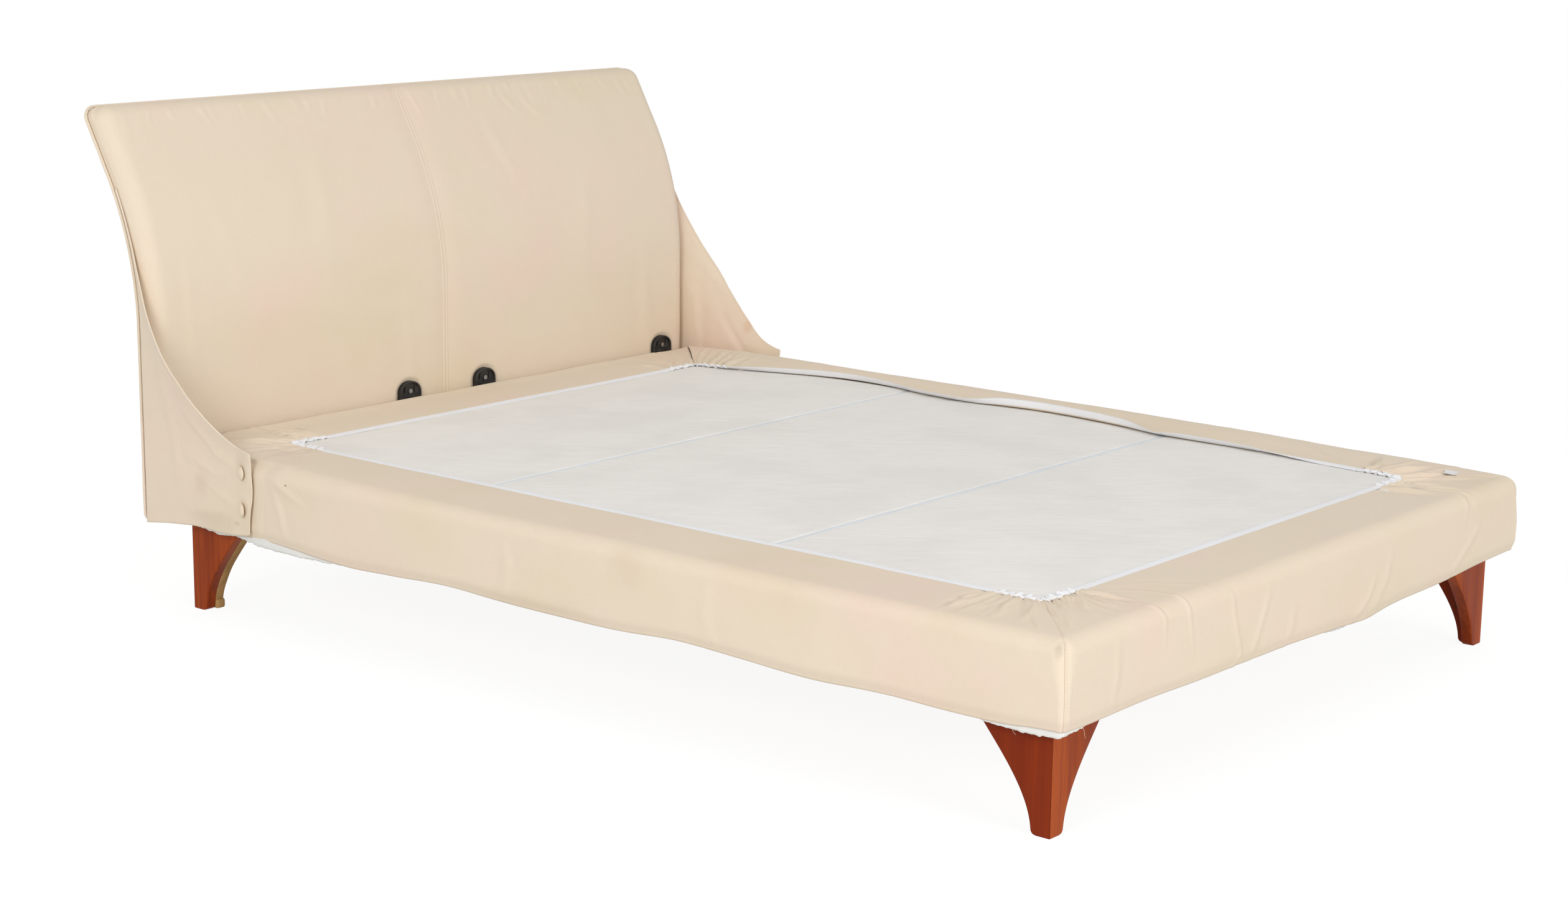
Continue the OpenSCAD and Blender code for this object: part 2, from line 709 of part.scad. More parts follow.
module bracket_screw_bores() {
    for (x = bracket_xs) translate([x, bracket_y, screw_z]) rotate([-90, 0, 0])
        cylinder(d = screw_d + screw_slack, h = screw_reach + screw_end_gap);
}

module bracket_plates() {
    rim = 4;
    color(black_plastic) place() difference() {
        bracket_shape(bracket_y, bracket_y + bracket_t, 0);
        intersection() {
            bracket_shape(bracket_y - 1, bracket_y + screw_recess, -rim);
            translate([-half_w, bracket_y - 2, deck_h + rim])
                cube([base_w, bracket_t, bracket_rise]);
        }
        hb_bolt_bores(bracket_y - 1, bracket_y + bracket_t + 1, hb_bolt_d + bolt_slack);
        bracket_screw_bores();
    }
}

module bracket_screws() {
    color(steel) place() for (x = bracket_xs) translate([x, bracket_y + screw_recess, screw_z])
        rotate([-90, 0, 0]) {
            translate([0, 0, -2.5]) cylinder(d = 10, h = 2.5);
            translate([0, 0, -eps])
                cylinder(d = screw_d, h = screw_reach - screw_recess);
        }
}

module headboard_bolts() {
    head_t = 5;
    y_end = hb_front_y + cloth_t + hb_foam_t + shell_t;
    color(steel) place() for (x = bracket_xs) translate([x, head_in_y, hb_bolt_z])
        rotate([-90, 0, 0]) {
            translate([0, 0, -head_t]) cylinder(d = 2 * hb_bolt_d, h = head_t);
            translate([0, 0, -eps]) cylinder(d = hb_bolt_d, h = y_end - head_in_y);
            translate([0, 0, y_end - head_in_y - shell_t / 2 + soft_gap])
                cylinder(d = 2 * hb_bolt_d, h = shell_t / 2 - soft_gap);
        }
}

// Legs: two mitred boards with concave edges and a glue block

// Pulls of the concave edge's curve at the toe and under the rails, across and up
leg_low_pull = [7, 65];
leg_high_pull = [39, 50];
leg_steps = 14;
leg_bolt_head_d = 2 * leg_bolt_d;
function leg_curve(t) = bezier([[leg_foot_w, leg_toe_r], [leg_foot_w, leg_toe_r] + leg_low_pull,
    [leg_top_w, rail_z] - leg_high_pull, [leg_top_w, rail_z]], t);

// Outline of a leg board: along the rail in X, up in Y, with a rounded toe and a concave edge
module leg_outline() {
    polygon(concat([[0, 0]], arc([leg_foot_w - leg_toe_r, leg_toe_r], leg_toe_r, -90, 0, 6),
        [for (i = [1:leg_steps]) leg_curve(i / leg_steps)],
        [[leg_top_w, leg_board_top], [0, leg_board_top]]));
}

// Half of the corner on one side of the mitre, board_dir 0 along Y and 1 along X
module mitre_half(board_dir) {
    far = leg_top_w + 1;
    translate([0, 0, -1]) linear_extrude(rail_top)
        polygon(board_dir == 0 ? [[0, 0], [far, far], [0, far]] : [[0, 0], [far, 0], [far, far]]);
}

module leg_bolt_bores(d, from, to) {
    for (z = leg_bolt_heights) {
        translate([from, leg_bolt_reach, z]) rotate([0, 90, 0]) cylinder(d = d, h = to - from);
        translate([leg_bolt_reach, from, z]) rotate([-90, 0, 0]) cylinder(d = d, h = to - from);
    }
}

module leg_board(board_dir) {
    difference() {
        intersection() {
            if (board_dir == 0) rotate([90, 0, 90]) linear_extrude(leg_t) leg_outline();
            else translate([0, leg_t, 0]) rotate([90, 0, 0]) linear_extrude(leg_t) leg_outline();
            mitre_half(board_dir);
        }
        leg_bolt_bores(leg_bolt_d + bolt_slack, -1, leg_t + 1);
    }
}

module leg_block() {
    translate([leg_t, leg_t, block_low_z]) cube([block_w, block_w, leg_board_top - block_low_z]);
}

// Rough board behind a head leg's side board, with a block at its toe, clear of the bolt heads
module leg_backing() {
    floor_gap = 1;
    toe_reach = 6;
    difference() {
        union() {
            intersection() {
                translate([leg_t, 0, 0]) rotate([90, 0, 90]) linear_extrude(backing_t) leg_outline();
                translate([leg_t, leg_t, floor_gap]) cube([backing_t, leg_top_w, leg_board_top]);
            }
            translate([leg_t, leg_t, floor_gap])
                cube([backing_t, leg_foot_w - leg_t + toe_reach, toe_block_h]);
        }
        leg_bolt_bores(leg_bolt_head_d + 2 * bolt_slack, leg_t - 1, leg_t + backing_t + 1);
    }
}

module leg(side, head, piece) {
    at_corner(side, head ? head_in_y : foot_in_y, head ? 1 : 0) {
        if (piece == "side") leg_board(0);
        if (piece == "end") leg_board(1);
        if (piece == "block" && head) leg_backing();
        if (piece == "block" && !head) leg_block();
    }
}

module leg_foot_left_side_board() { color(cherry) place() leg(-1, false, "side"); }
module leg_foot_left_end_board() { color(cherry) place() leg(-1, false, "end"); }
module leg_foot_left_block() { color(raw_wood) place() leg(-1, false, "block"); }
module leg_foot_right_side_board() { color(cherry) place() leg(1, false, "side"); }
module leg_foot_right_end_board() { color(cherry) place() leg(1, false, "end"); }
module leg_foot_right_block() { color(raw_wood) place() leg(1, false, "block"); }
module leg_head_left_side_board() { color(cherry) place() leg(-1, true, "side"); }
module leg_head_left_end_board() { color(raw_wood) place() leg(-1, true, "end"); }
module leg_head_left_block() { color(raw_wood) place() leg(-1, true, "block"); }
module leg_head_right_side_board() { color(cherry) place() leg(1, true, "side"); }
module leg_head_right_end_board() { color(raw_wood) place() leg(1, true, "end"); }
module leg_head_right_block() { color(raw_wood) place() leg(1, true, "block"); }

module leg_bolts() {
    head_t = 4;
    color(steel) place() for (side = [-1, 1]) for (head = [false, true])
        at_corner(side, head ? head_in_y : foot_in_y, head ? 1 : 0) {
            leg_bolt_bores(leg_bolt_d, -rail_bolt_depth, leg_t + eps);
            leg_bolt_bores(leg_bolt_head_d, leg_t, leg_t + head_t);
        }
}

// Blank woven label sewn to the border at the foot
module care_label() {
    label = [34, 26, 0.8];
    from_side = 96;
    from_foot = 92;
    color(elastic) place() translate([half_w - from_side, from_foot, deck_h + soft_gap])
        rotate([0, 0, 18]) cube(label);
}

side_rail_left();
side_rail_right();
foot_rail();
head_rail();
cross_bearer_foot();
cross_bearer_head();
deck_board_foot();
deck_board_middle();
deck_board_head();
deck_pad_foot();
deck_pad_middle();
deck_pad_head();
groove_tapes();
side_foam_left();
side_foam_right();
foot_foam();
cover_side_left();
cover_side_right();
cover_foot();
cover_head();
elastic_binding();
hem_lining();
headboard_shell();
headboard_foam();
headboard_cover_left();
headboard_cover_right();
headboard_back_cover();
headboard_piping();
wing_left();
wing_right();
wing_buttons();
bracket_plates();
bracket_screws();
headboard_bolts();
leg_foot_left_side_board();
leg_foot_left_end_board();
leg_foot_left_block();
leg_foot_right_side_board();
leg_foot_right_end_board();
leg_foot_right_block();
leg_head_left_side_board();
leg_head_left_end_board();
leg_head_left_block();
leg_head_right_side_board();
leg_head_right_end_board();
leg_head_right_block();
leg_bolts();
care_label();
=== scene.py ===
# Upholstered platform bed: loose cotton cover, white deck, leaning headboard and bracket legs
import math

import bmesh
import bpy
import numpy as np
from mathutils import Matrix, Vector


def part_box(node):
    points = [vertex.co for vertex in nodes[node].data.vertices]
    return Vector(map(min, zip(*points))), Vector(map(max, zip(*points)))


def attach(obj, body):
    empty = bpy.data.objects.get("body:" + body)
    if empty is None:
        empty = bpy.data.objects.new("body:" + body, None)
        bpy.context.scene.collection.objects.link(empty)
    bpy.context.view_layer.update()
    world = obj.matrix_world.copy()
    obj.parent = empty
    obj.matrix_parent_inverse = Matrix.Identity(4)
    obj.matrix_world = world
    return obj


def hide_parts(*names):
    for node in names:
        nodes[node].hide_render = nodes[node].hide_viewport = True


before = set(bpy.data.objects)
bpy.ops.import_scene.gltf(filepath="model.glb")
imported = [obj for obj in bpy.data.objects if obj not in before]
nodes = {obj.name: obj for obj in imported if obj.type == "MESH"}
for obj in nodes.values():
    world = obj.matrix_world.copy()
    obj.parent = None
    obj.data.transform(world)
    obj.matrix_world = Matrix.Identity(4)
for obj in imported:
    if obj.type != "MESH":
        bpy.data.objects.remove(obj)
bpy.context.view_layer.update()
print("frame loaded,", len(nodes), "nodes")

bed = {
    "left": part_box("cover_side_left")[0].x,
    "right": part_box("cover_side_right")[1].x,
    "foot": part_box("cover_foot")[0].y,
    "head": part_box("cover_head")[1].y,
    "deckTop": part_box("cover_foot")[1].z,
}
bed["width"] = bed["right"] - bed["left"]
bed["length"] = bed["head"] - bed["foot"]


# Number helpers

def ease(value, low, high):
    # 0 below low, 1 above high, and a smooth step between
    t = np.clip((np.asarray(value, float) - low) / (high - low), 0, 1)
    return t * t * (3 - 2 * t)


def hump(distance, width):
    # a bell of height 1: e to the minus square of distance over width
    return np.exp(-(distance / width) ** 2)


def pointsOf(*values):
    # any mix of arrays and numbers, stacked as the coordinates of points
    return np.stack(np.broadcast_arrays(*values), -1)


def gridUv(down, across):
    return np.stack(np.meshgrid(down, across, indexing="ij"), -1)


def runOf(path):
    # the distance from a path's start to each of its points
    return np.concatenate([[0], np.cumsum(np.linalg.norm(np.diff(path, axis=0), axis=1))])


def placesAt(where, run, path):
    # the points of a path at given distances from its start
    return np.stack([np.interp(where, run, path[:, k]) for k in range(3)], -1)


def boxOf(node):
    low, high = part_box(node)
    return np.array(low), np.array(high)


def softNoise(points, size, seed):
    # random numbers from -1 to 1 on a cubic lattice, blended between its corners with smooth steps
    count = 32
    table = np.random.default_rng(seed).random((count, count, count)) * 2 - 1
    place = np.asarray(points, float) / np.asarray(size, float)
    low = np.floor(place).astype(int)
    part = place - low
    part = part * part * (3 - 2 * part)
    total = np.zeros(place.shape[:-1])
    for corner in range(8):
        step = np.array([(corner >> axis) & 1 for axis in range(3)])
        cell = (low + step) % count
        value = table[cell[..., 0], cell[..., 1], cell[..., 2]]
        total += np.prod(np.where(step, part, 1 - part), -1) * value
    return total


def through(knots, where):
    # smooth line through given knots, each left with the slope of its two neighbours
    x, y = np.array(knots, float).T
    slope = np.gradient(y, x)
    where = np.clip(where, x[0], x[-1])
    i = np.clip(np.searchsorted(x, where) - 1, 0, len(x) - 2)
    gap = x[i + 1] - x[i]
    t = (where - x[i]) / gap
    return (
        y[i] * (1 + 2 * t) * (1 - t) ** 2 + y[i + 1] * t * t * (3 - 2 * t)
        + gap * (slope[i] * t * (1 - t) ** 2 + slope[i + 1] * t * t * (t - 1))
    )


def bezier(points, t):
    # cubic curve through the first and last of four points, pulled by the two between
    a, b, c, d = (np.array(p, float) for p in points)
    t = np.asarray(t, float)[:, None]
    return (1 - t) ** 3 * a + 3 * t * (1 - t) ** 2 * b + 3 * t * t * (1 - t) * c + t ** 3 * d


def unit(vectors):
    # each vector divided by its length
    return vectors / np.maximum(np.linalg.norm(vectors, axis=-1, keepdims=True), 1e-12)


# A fold's valley beside its ridge: depth to the ridge's height, place and width to the ridge's width
valley = {"depth": 0.55, "place": 1.7, "width": 1.2, "fade": 0.7}


def foldHeight(place, path, width, height):
    # height of one fold: a ridge along the path with a shallow valley beside it, faded at both ends
    path = np.array(path, float)
    steps = np.linalg.norm(np.diff(path, axis=0), axis=1)
    starts = np.concatenate([[0], np.cumsum(steps)])
    nearest = np.full(place.shape[:-1], np.inf)
    side = np.zeros_like(nearest)
    run = np.zeros_like(nearest)
    for i, step in enumerate(steps):
        way = (path[i + 1] - path[i]) / step
        off = place - path[i]
        t = np.clip(off @ way, 0, step)
        rest = off - t[..., None] * way
        far = np.linalg.norm(rest, axis=-1)
        closer = far < nearest
        nearest = np.where(closer, far, nearest)
        side = np.where(closer, np.sign(off[..., 0] * way[1] - off[..., 1] * way[0]) * far, side)
        run = np.where(closer, (starts[i] + t) / starts[-1], run)
    fade = np.sin(np.pi * np.clip(run * 0.9 + 0.05, 0, 1)) ** valley["fade"]
    past = hump(np.sqrt(np.maximum(nearest ** 2 - side ** 2, 0)), width)
    beside = hump(side - valley["place"] * width, valley["width"] * width)
    return height * fade * past * (hump(side, width) - valley["depth"] * beside)


def foldsHeight(place, folds):
    return sum(foldHeight(place, *fold) for fold in folds)


# Mesh helpers

def surfacePart(points, uv=None, around=False, along=False, flip=False, capFirst=False, capLast=False):
    # one grid of points, rows by columns, that may close on itself in either direction
    return dict(points=points, uv=uv, around=around, along=along, flip=flip,
                capFirst=capFirst, capLast=capLast)


def partFaces(part):
    # the quads of a grid and the UV coordinates of their corners
    rows, cols = part["points"].shape[:2]
    r, c = np.meshgrid(
        np.arange(rows if part["along"] else rows - 1),
        np.arange(cols if part["around"] else cols - 1), indexing="ij")
    r, c = r.ravel(), c.ravel()
    corners = [(r, c), (r, c + 1), (r + 1, c + 1), (r + 1, c)]
    if part["flip"]:
        corners = corners[::-1]
    quads = np.stack([(a % rows) * cols + b % cols for a, b in corners], -1)
    uv = part["uv"]
    if uv is None:
        flat = np.zeros((len(quads), 4, 2))
    else:
        top, wide = uv.shape[0] - 1, uv.shape[1] - 1
        flat = np.stack([uv[np.minimum(a, top), np.minimum(b, wide)] for a, b in corners], 1)
    return quads, flat


def meshObject(name, parts, merge=False):
    # joins grids into one mesh object, with their UV coordinates in metres
    points, faces, coords, start = [], [], [], 0
    for part in parts:
        rows, cols = part["points"].shape[:2]
        quads, flat = partFaces(part)
        points.append(part["points"].reshape(-1, 3))
        faces += (quads + start).tolist()
        coords.append(flat.reshape(-1, 2))
        for wanted, row in ((part["capFirst"], 0), (part["capLast"], rows - 1)):
            if wanted:
                ring = [start + row * cols + k for k in range(cols)]
                faces.append(ring if (row == 0) == part["flip"] else ring[::-1])
                coords.append(np.zeros((cols, 2)))
        start += rows * cols
    mesh = bpy.data.meshes.new(name)
    mesh.from_pydata(np.concatenate(points).tolist(), [], faces)
    layer = mesh.uv_layers.new(name="UVMap")
    layer.data.foreach_set("uv", np.concatenate(coords).astype(np.float32).ravel())
    mesh.polygons.foreach_set("use_smooth", np.ones(len(mesh.polygons), bool))
    mesh.update()
    made = bpy.data.objects.new(name, mesh)
    bpy.context.scene.collection.objects.link(made)
    if merge:
        work = bmesh.new()
        work.from_mesh(mesh)
        bmesh.ops.remove_doubles(work, verts=work.verts, dist=2e-5)
        work.to_mesh(mesh)
        work.free()
    return made


def addWall(piece, thickness, offset=-1.0):
    # cloth gets its thickness from Solidify
    wall = piece.modifiers.new("wall", "SOLIDIFY")
    wall.thickness = thickness
    wall.offset = offset
    wall.use_rim = True


def sharpen(piece, degrees):
    # edges that turn by more than this many degrees stay crisp
    piece.data.set_sharp_from_angle(angle=math.radians(degrees))


def finishPiece(piece, material, slotName, *replaced):
    # one material, the body that carries it and the imported nodes it stands for; slotName is not used
    piece.data.materials.clear()
    piece.data.materials.append(material)
    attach(piece, "root")
    if replaced:
        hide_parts(*replaced)


def tubePart(path, radius, sides, up):
    # a circle carried along a path: the path's direction and an up direction give each ring its plane
    tangent = unit(np.gradient(path, axis=0))
    across = unit(np.cross(tangent, up))
    lift = np.cross(across, tangent)
    turn = np.linspace(0, 2 * np.pi, sides, endpoint=False)
    radius = np.broadcast_to(radius, (len(path),))[:, None, None]
    ring = np.cos(turn)[None, :, None] * across[:, None] + np.sin(turn)[None, :, None] * lift[:, None]
    girth = np.linspace(0, 2 * np.pi, sides + 1) * float(radius.mean())
    return surfacePart(path[:, None] + radius * ring, gridUv(runOf(path), girth), around=True,
                       capFirst=True, capLast=True)


def stitchParts(centres, ways, ups, length, radius):
    # each stitch is a short rounded thread: three rings and two small ends, sunk a little at its ends
    turn = np.linspace(0, 2 * np.pi, 6, endpoint=False)
    along = np.array([-0.5, -0.3, 0.0, 0.3, 0.5]) * length
    swell = np.array([0.25, 0.85, 1.0, 0.85, 0.25]) * radius
    sink = np.array([-0.6, 0.1, 0.3, 0.1, -0.6]) * radius
    ways, ups = unit(ways), unit(ups)
    sideways = np.cross(ways, ups)
    parts = []
    for centre, way, up, across in zip(centres, ways, ups, sideways):
        ring = np.cos(turn)[None, :, None] * across + np.sin(turn)[None, :, None] * up
        line = centre + along[:, None] * way + sink[:, None] * up
        parts.append(surfacePart(line[:, None] + swell[:, None, None] * ring, around=True,
                                 capFirst=True, capLast=True))
    return parts


# Materials

def linear(red, green, blue):
    # a screen colour from 0 to 255 as Blender's linear colour
    share = [v / 255 for v in (red, green, blue)]
    return tuple(v / 12.92 if v <= 0.04045 else ((v + 0.055) / 1.055) ** 2.4 for v in share) + (1.0,)


def addNode(material, kind, sockets=None, **settings):
    tree = material.node_tree
    made = tree.nodes.new(kind)
    for key, value in settings.items():
        setattr(made, key, value)
    for key, value in (sockets or {}).items():
        if isinstance(value, bpy.types.NodeSocket):
            tree.links.new(value, made.inputs[key])
        else:
            made.inputs[key].default_value = value
    return made


def newMaterial(name, roughness, metallic=0.0, sheen=0.0):
    material = bpy.data.materials.new(name)
    material.use_nodes = True
    shader = material.node_tree.nodes["Principled BSDF"]
    shader.inputs["Roughness"].default_value = roughness
    shader.inputs["Metallic"].default_value = metallic
    shader.inputs["Sheen Weight"].default_value = sheen
    coords = addNode(material, "ShaderNodeTexCoord")
    return material, shader, coords


def math2(material, operation, a, b=0.0):
    return addNode(material, "ShaderNodeMath", {0: a, 1: b}, operation=operation).outputs[0]


def noiseOf(material, vector, scale, detail=3.0, stretch=(1, 1, 1), roughness=0.5, turn=0.0):
    turned = addNode(material, "ShaderNodeMapping", {"Vector": vector, "Rotation": (0, 0, turn)})
    moved = addNode(material, "ShaderNodeMapping", {"Vector": turned.outputs[0], "Scale": stretch})
    return addNode(material, "ShaderNodeTexNoise", {
        "Vector": moved.outputs[0], "Scale": scale, "Detail": detail, "Roughness": roughness}).outputs["Fac"]


def rangeOf(material, value, low, high, toLow=0.0, toHigh=1.0):
    return addNode(material, "ShaderNodeMapRange", {
        0: value, 1: low, 2: high, 3: toLow, 4: toHigh}, interpolation_type="SMOOTHSTEP").outputs[0]


def mixColour(material, factor, first, second):
    # sockets 0, 6 and 7 of a colour mix are its factor and its two colours, and output 2 is the result
    return addNode(material, "ShaderNodeMix", {0: factor, 6: first, 7: second}, data_type="RGBA").outputs[2]


def twoTone(material, factor, first, second):
    return mixColour(material, factor, linear(*first), linear(*second))


def feed(material, value, shader, socketName="Base Color"):
    material.node_tree.links.new(value, shader.inputs[socketName])


def weaveHeight(material, coords, thread):
    # plain weave: the product of a sine wave along and one across, each as long as two threads
    split = addNode(material, "ShaderNodeSeparateXYZ", {0: coords.outputs["UV"]})
    wave = math.pi / thread
    warp = math2(material, "SINE", math2(material, "MULTIPLY", split.outputs[0], wave))
    weft = math2(material, "SINE", math2(material, "MULTIPLY", split.outputs[1], wave))
    return math2(material, "MULTIPLY", warp, weft), split


def bumpInto(material, shader, height, strength, distance, before=None):
    sockets = {"Height": height, "Strength": strength, "Distance": distance}
    if before is not None:
        sockets["Normal"] = before
    made = addNode(material, "ShaderNodeBump", sockets)
    feed(material, made.outputs[0], shader, "Normal")
    return made.outputs[0]


def markMask(material, coords, centre, size):
    # 1 inside a soft patch of that size round the centre, with an uneven edge
    edge, unevenness = 0.85, 0.7
    moved = addNode(material, "ShaderNodeVectorMath", {0: coords.outputs["Object"], 1: centre},
                    operation="SUBTRACT")
    scaled = addNode(material, "ShaderNodeVectorMath", {0: moved.outputs[0], 1: size}, operation="DIVIDE")
    far = addNode(material, "ShaderNodeVectorMath", {0: scaled.outputs[0]}, operation="LENGTH")
    far = far.outputs["Value"]
    rough = noiseOf(material, coords.outputs["Object"], 3.0 / max(size), 4.0)
    rough = math2(material, "MULTIPLY", math2(material, "SUBTRACT", rough, 0.5), unevenness)
    far = math2(material, "ADD", far, rough)
    return rangeOf(material, far, 1.0 - edge, 1.0, 1.0, 0.0)


# The cotton's tones; gap is the colour of the painted shade between the weave's threads
clothLook = {
    "cream": (232, 216, 194),
    "rosy": (235, 212, 194),
    "straw": (228, 212, 184),
    "gap": (204, 186, 162),
    "thread": 0.0007,
    "slub": (60, 900, 1),
    "slubAcross": (1000, 50, 1),
}


def cottonMaterial(name, marks=(), roughness=0.88, mottle=1.0):
    # washed cotton: mottled cream, slubby threads, a plain weave with painted shade in its gaps, and faint
    # pressed creases
    material, shader, coords = newMaterial(name, roughness, sheen=0.08)
    here = coords.outputs["Object"]
    rosy = rangeOf(material, noiseOf(material, here, 4.2, 3.0), 0.46, 0.74, 0.0, 0.9 * mottle)
    clouds = noiseOf(material, here, 2.6, 3.0, stretch=(1, 1.3, 1.7))
    straw = rangeOf(material, clouds, 0.46, 0.78, 0.0, 0.8 * mottle)
    colour = twoTone(material, rosy, clothLook["cream"], clothLook["rosy"])
    colour = mixColour(material, straw, colour, linear(*clothLook["straw"]))
    weave, _ = weaveHeight(material, coords, clothLook["thread"])
    slubs = [noiseOf(material, coords.outputs["UV"], 1.0, 3.0, stretch=clothLook[way])
             for way in ("slub", "slubAcross")]
    threads = math2(material, "ADD", math2(material, "MULTIPLY", weave, 0.5), math2(material, "ADD", *slubs))
    # painted shade: where the weave and its threads are low, the colour darkens toward the gap tone
    gapShade = rangeOf(material, threads, 0.4, 1.5, 0.22, 0.0)
    colour = mixColour(material, gapShade, colour, linear(*clothLook["gap"]))
    for centre, size, tint, share in marks:
        mask = markMask(material, coords, centre, size)
        colour = mixColour(material, math2(material, "MULTIPLY", mask, share), colour, linear(*tint))
    feed(material, colour, shader)
    rumple = noiseOf(material, here, 26.0, 4.0, stretch=(1, 1, 1.4))
    soft = bumpInto(material, shader, rumple, 0.25, 0.0016)
    bumpInto(material, shader, threads, 0.35, 0.00025, soft)
    return material


# The ticking's crinkles run across the deck at this angle, and a rib of woven tape is this wide
deckSkew = math.radians(51)
ribPitch = 0.0016


def whiteCloth(name, tone, thread, crinkle=0.0, ribs=False, roughness=0.85, patchAndShadeTone=0.93):
    # white cloth in a plain weave, with faint patches and painted shade in the weave's gaps and, where asked
    # for, crinkles with painted shade along them, or ribs
    material, shader, coords = newMaterial(name, roughness, sheen=0.05)
    weave, split = weaveHeight(material, coords, thread)
    # the low tone serves both the faint patches and the painted shade
    low = tuple(v * patchAndShadeTone for v in tone)
    patch = rangeOf(material, noiseOf(material, coords.outputs["Object"], 5.0, 3.0), 0.4, 0.65)
    colour = twoTone(material, math2(material, "MULTIPLY", patch, 0.35), tone, low)
    # painted shade where the weave is low
    colour = mixColour(material, rangeOf(material, weave, -1.0, 0.2, 0.3, 0.0), colour, linear(*low))
    normal = None
    if crinkle:
        lines = noiseOf(material, coords.outputs["Object"], 1.0, 3.0, stretch=(18, 82, 1), turn=deckSkew)
        # painted shade in the crinkles' valleys, on top of their bump
        colour = mixColour(material, rangeOf(material, lines, 0.35, 0.62, 0.16, 0.0), colour, linear(*low))
        normal = bumpInto(material, shader, lines, crinkle, 0.0012)
    if ribs:
        rib = math2(material, "SINE", math2(material, "MULTIPLY", split.outputs[1], 2 * math.pi / ribPitch))
        normal = bumpInto(material, shader, rib, 0.5, 0.0004, normal)
    feed(material, colour, shader)
    bumpInto(material, shader, weave, 0.3, 0.0002, normal)
    return material


def woodMaterial(name, dark, light, grain=(60, 60, 2.2), roughness=0.42, pores=0.25, stain=None):
    # long streaks along the board: noise squeezed across the grain, with finer pores over it
    material, shader, coords = newMaterial(name, roughness)
    shader.inputs["Specular IOR Level"].default_value = 0.10
    here = coords.outputs["Object"]
    bent = noiseOf(material, here, 1.0, 2.0, stretch=tuple(g * 0.12 for g in grain))
    streak = noiseOf(material, here, 1.0, 5.0, stretch=grain, roughness=0.6)
    pore = noiseOf(material, here, 1.0, 2.0, stretch=tuple(g * (7 if g > 20 else 4) for g in grain))
    figure = math2(material, "ADD", math2(material, "MULTIPLY", bent, 0.55),
                   math2(material, "MULTIPLY", streak, 0.45))
    figure = rangeOf(material, figure, 0.36, 0.64)
    colour = twoTone(material, figure, dark, light)
    poreMask = rangeOf(material, pore, 0.30, 0.44, pores, 0.0)
    colour = mixColour(material, poreMask, colour, linear(*(v * 0.6 for v in dark)))
    if stain:
        # a board that is stained on the side that looks away from the bed and left raw inside
        split = addNode(material, "ShaderNodeSeparateXYZ", {0: here})
        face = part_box("leg_head_left_end_board")[1].y
        outside = rangeOf(material, split.outputs[1], face - 0.006, face - 0.003)
        colour = mixColour(material, outside, colour, twoTone(material, figure, *stain))
    feed(material, colour, shader)
    rough = rangeOf(material, streak, 0.3, 0.7, roughness - 0.06, roughness + 0.1)
    feed(material, rough, shader, "Roughness")
    bumpInto(material, shader, pore, 0.15, 0.0003)
    return material


def plyMaterial(name, layer=0.003):
    # birch plywood: pale face grain with darker bands where the layers' edges show
    material, shader, coords = newMaterial(name, 0.6)
    here = coords.outputs["Object"]
    face = noiseOf(material, here, 1.0, 5.0, stretch=(40, 3, 40), roughness=0.6)
    colour = twoTone(material, rangeOf(material, face, 0.35, 0.65), (196, 164, 118), (214, 186, 142))
    split = addNode(material, "ShaderNodeSeparateXYZ", {0: here})
    bands = math2(material, "SINE", math2(material, "MULTIPLY", split.outputs[2], 2 * math.pi / layer))
    colour = mixColour(material, rangeOf(material, bands, 0.2, 0.9, 0.0, 0.35), colour, linear(160, 122, 78))
    feed(material, colour, shader)
    bumpInto(material, shader, face, 0.2, 0.0005)
    return material


def foamMaterial(name):
    # pale foam with open cells, each cell's hollow painted darker as painted shade
    material, shader, coords = newMaterial(name, 0.95)
    cells = addNode(material, "ShaderNodeTexVoronoi", {"Vector": coords.outputs["Object"], "Scale": 420.0})
    depth = rangeOf(material, cells.outputs["Distance"], 0.1, 0.6)
    # painted shade: darker toward each cell's middle
    feed(material, twoTone(material, depth, (226, 214, 160), (240, 232, 186)), shader)
    bumpInto(material, shader, cells.outputs["Distance"], 0.6, 0.001)
    return material


def plasticMaterial(name):
    # moulded plastic with a fine grain and a few scuffs
    material, shader, coords = newMaterial(name, 0.42)
    grain = noiseOf(material, coords.outputs["Object"], 900.0, 2.0)
    scuff = noiseOf(material, coords.outputs["Object"], 60.0, 4.0)
    feed(material, twoTone(material, rangeOf(material, scuff, 0.5, 0.75), (30, 29, 28), (52, 50, 48)), shader)
    feed(material, rangeOf(material, scuff, 0.3, 0.7, 0.36, 0.55), shader, "Roughness")
    bumpInto(material, shader, grain, 0.25, 0.0002)
    return material


def metalMaterial(name, tone):
    # brushed metal, duller where the brushing is deep
    material, shader, coords = newMaterial(name, 0.35, metallic=1.0)
    brushed = noiseOf(material, coords.outputs["Object"], 300.0, 3.0)
    worn = rangeOf(material, brushed, 0.3, 0.7)
    feed(material, twoTone(material, worn, tone, [v * 0.8 for v in tone]), shader)
    feed(material, rangeOf(material, brushed, 0.3, 0.7, 0.28, 0.45), shader, "Roughness")
    bumpInto(material, shader, brushed, 0.1, 0.0002)
    return material


def fromFoot(y):
    # the foot face of the cover is the zero from which lengths along the bed are given
    return bed["foot"] + y


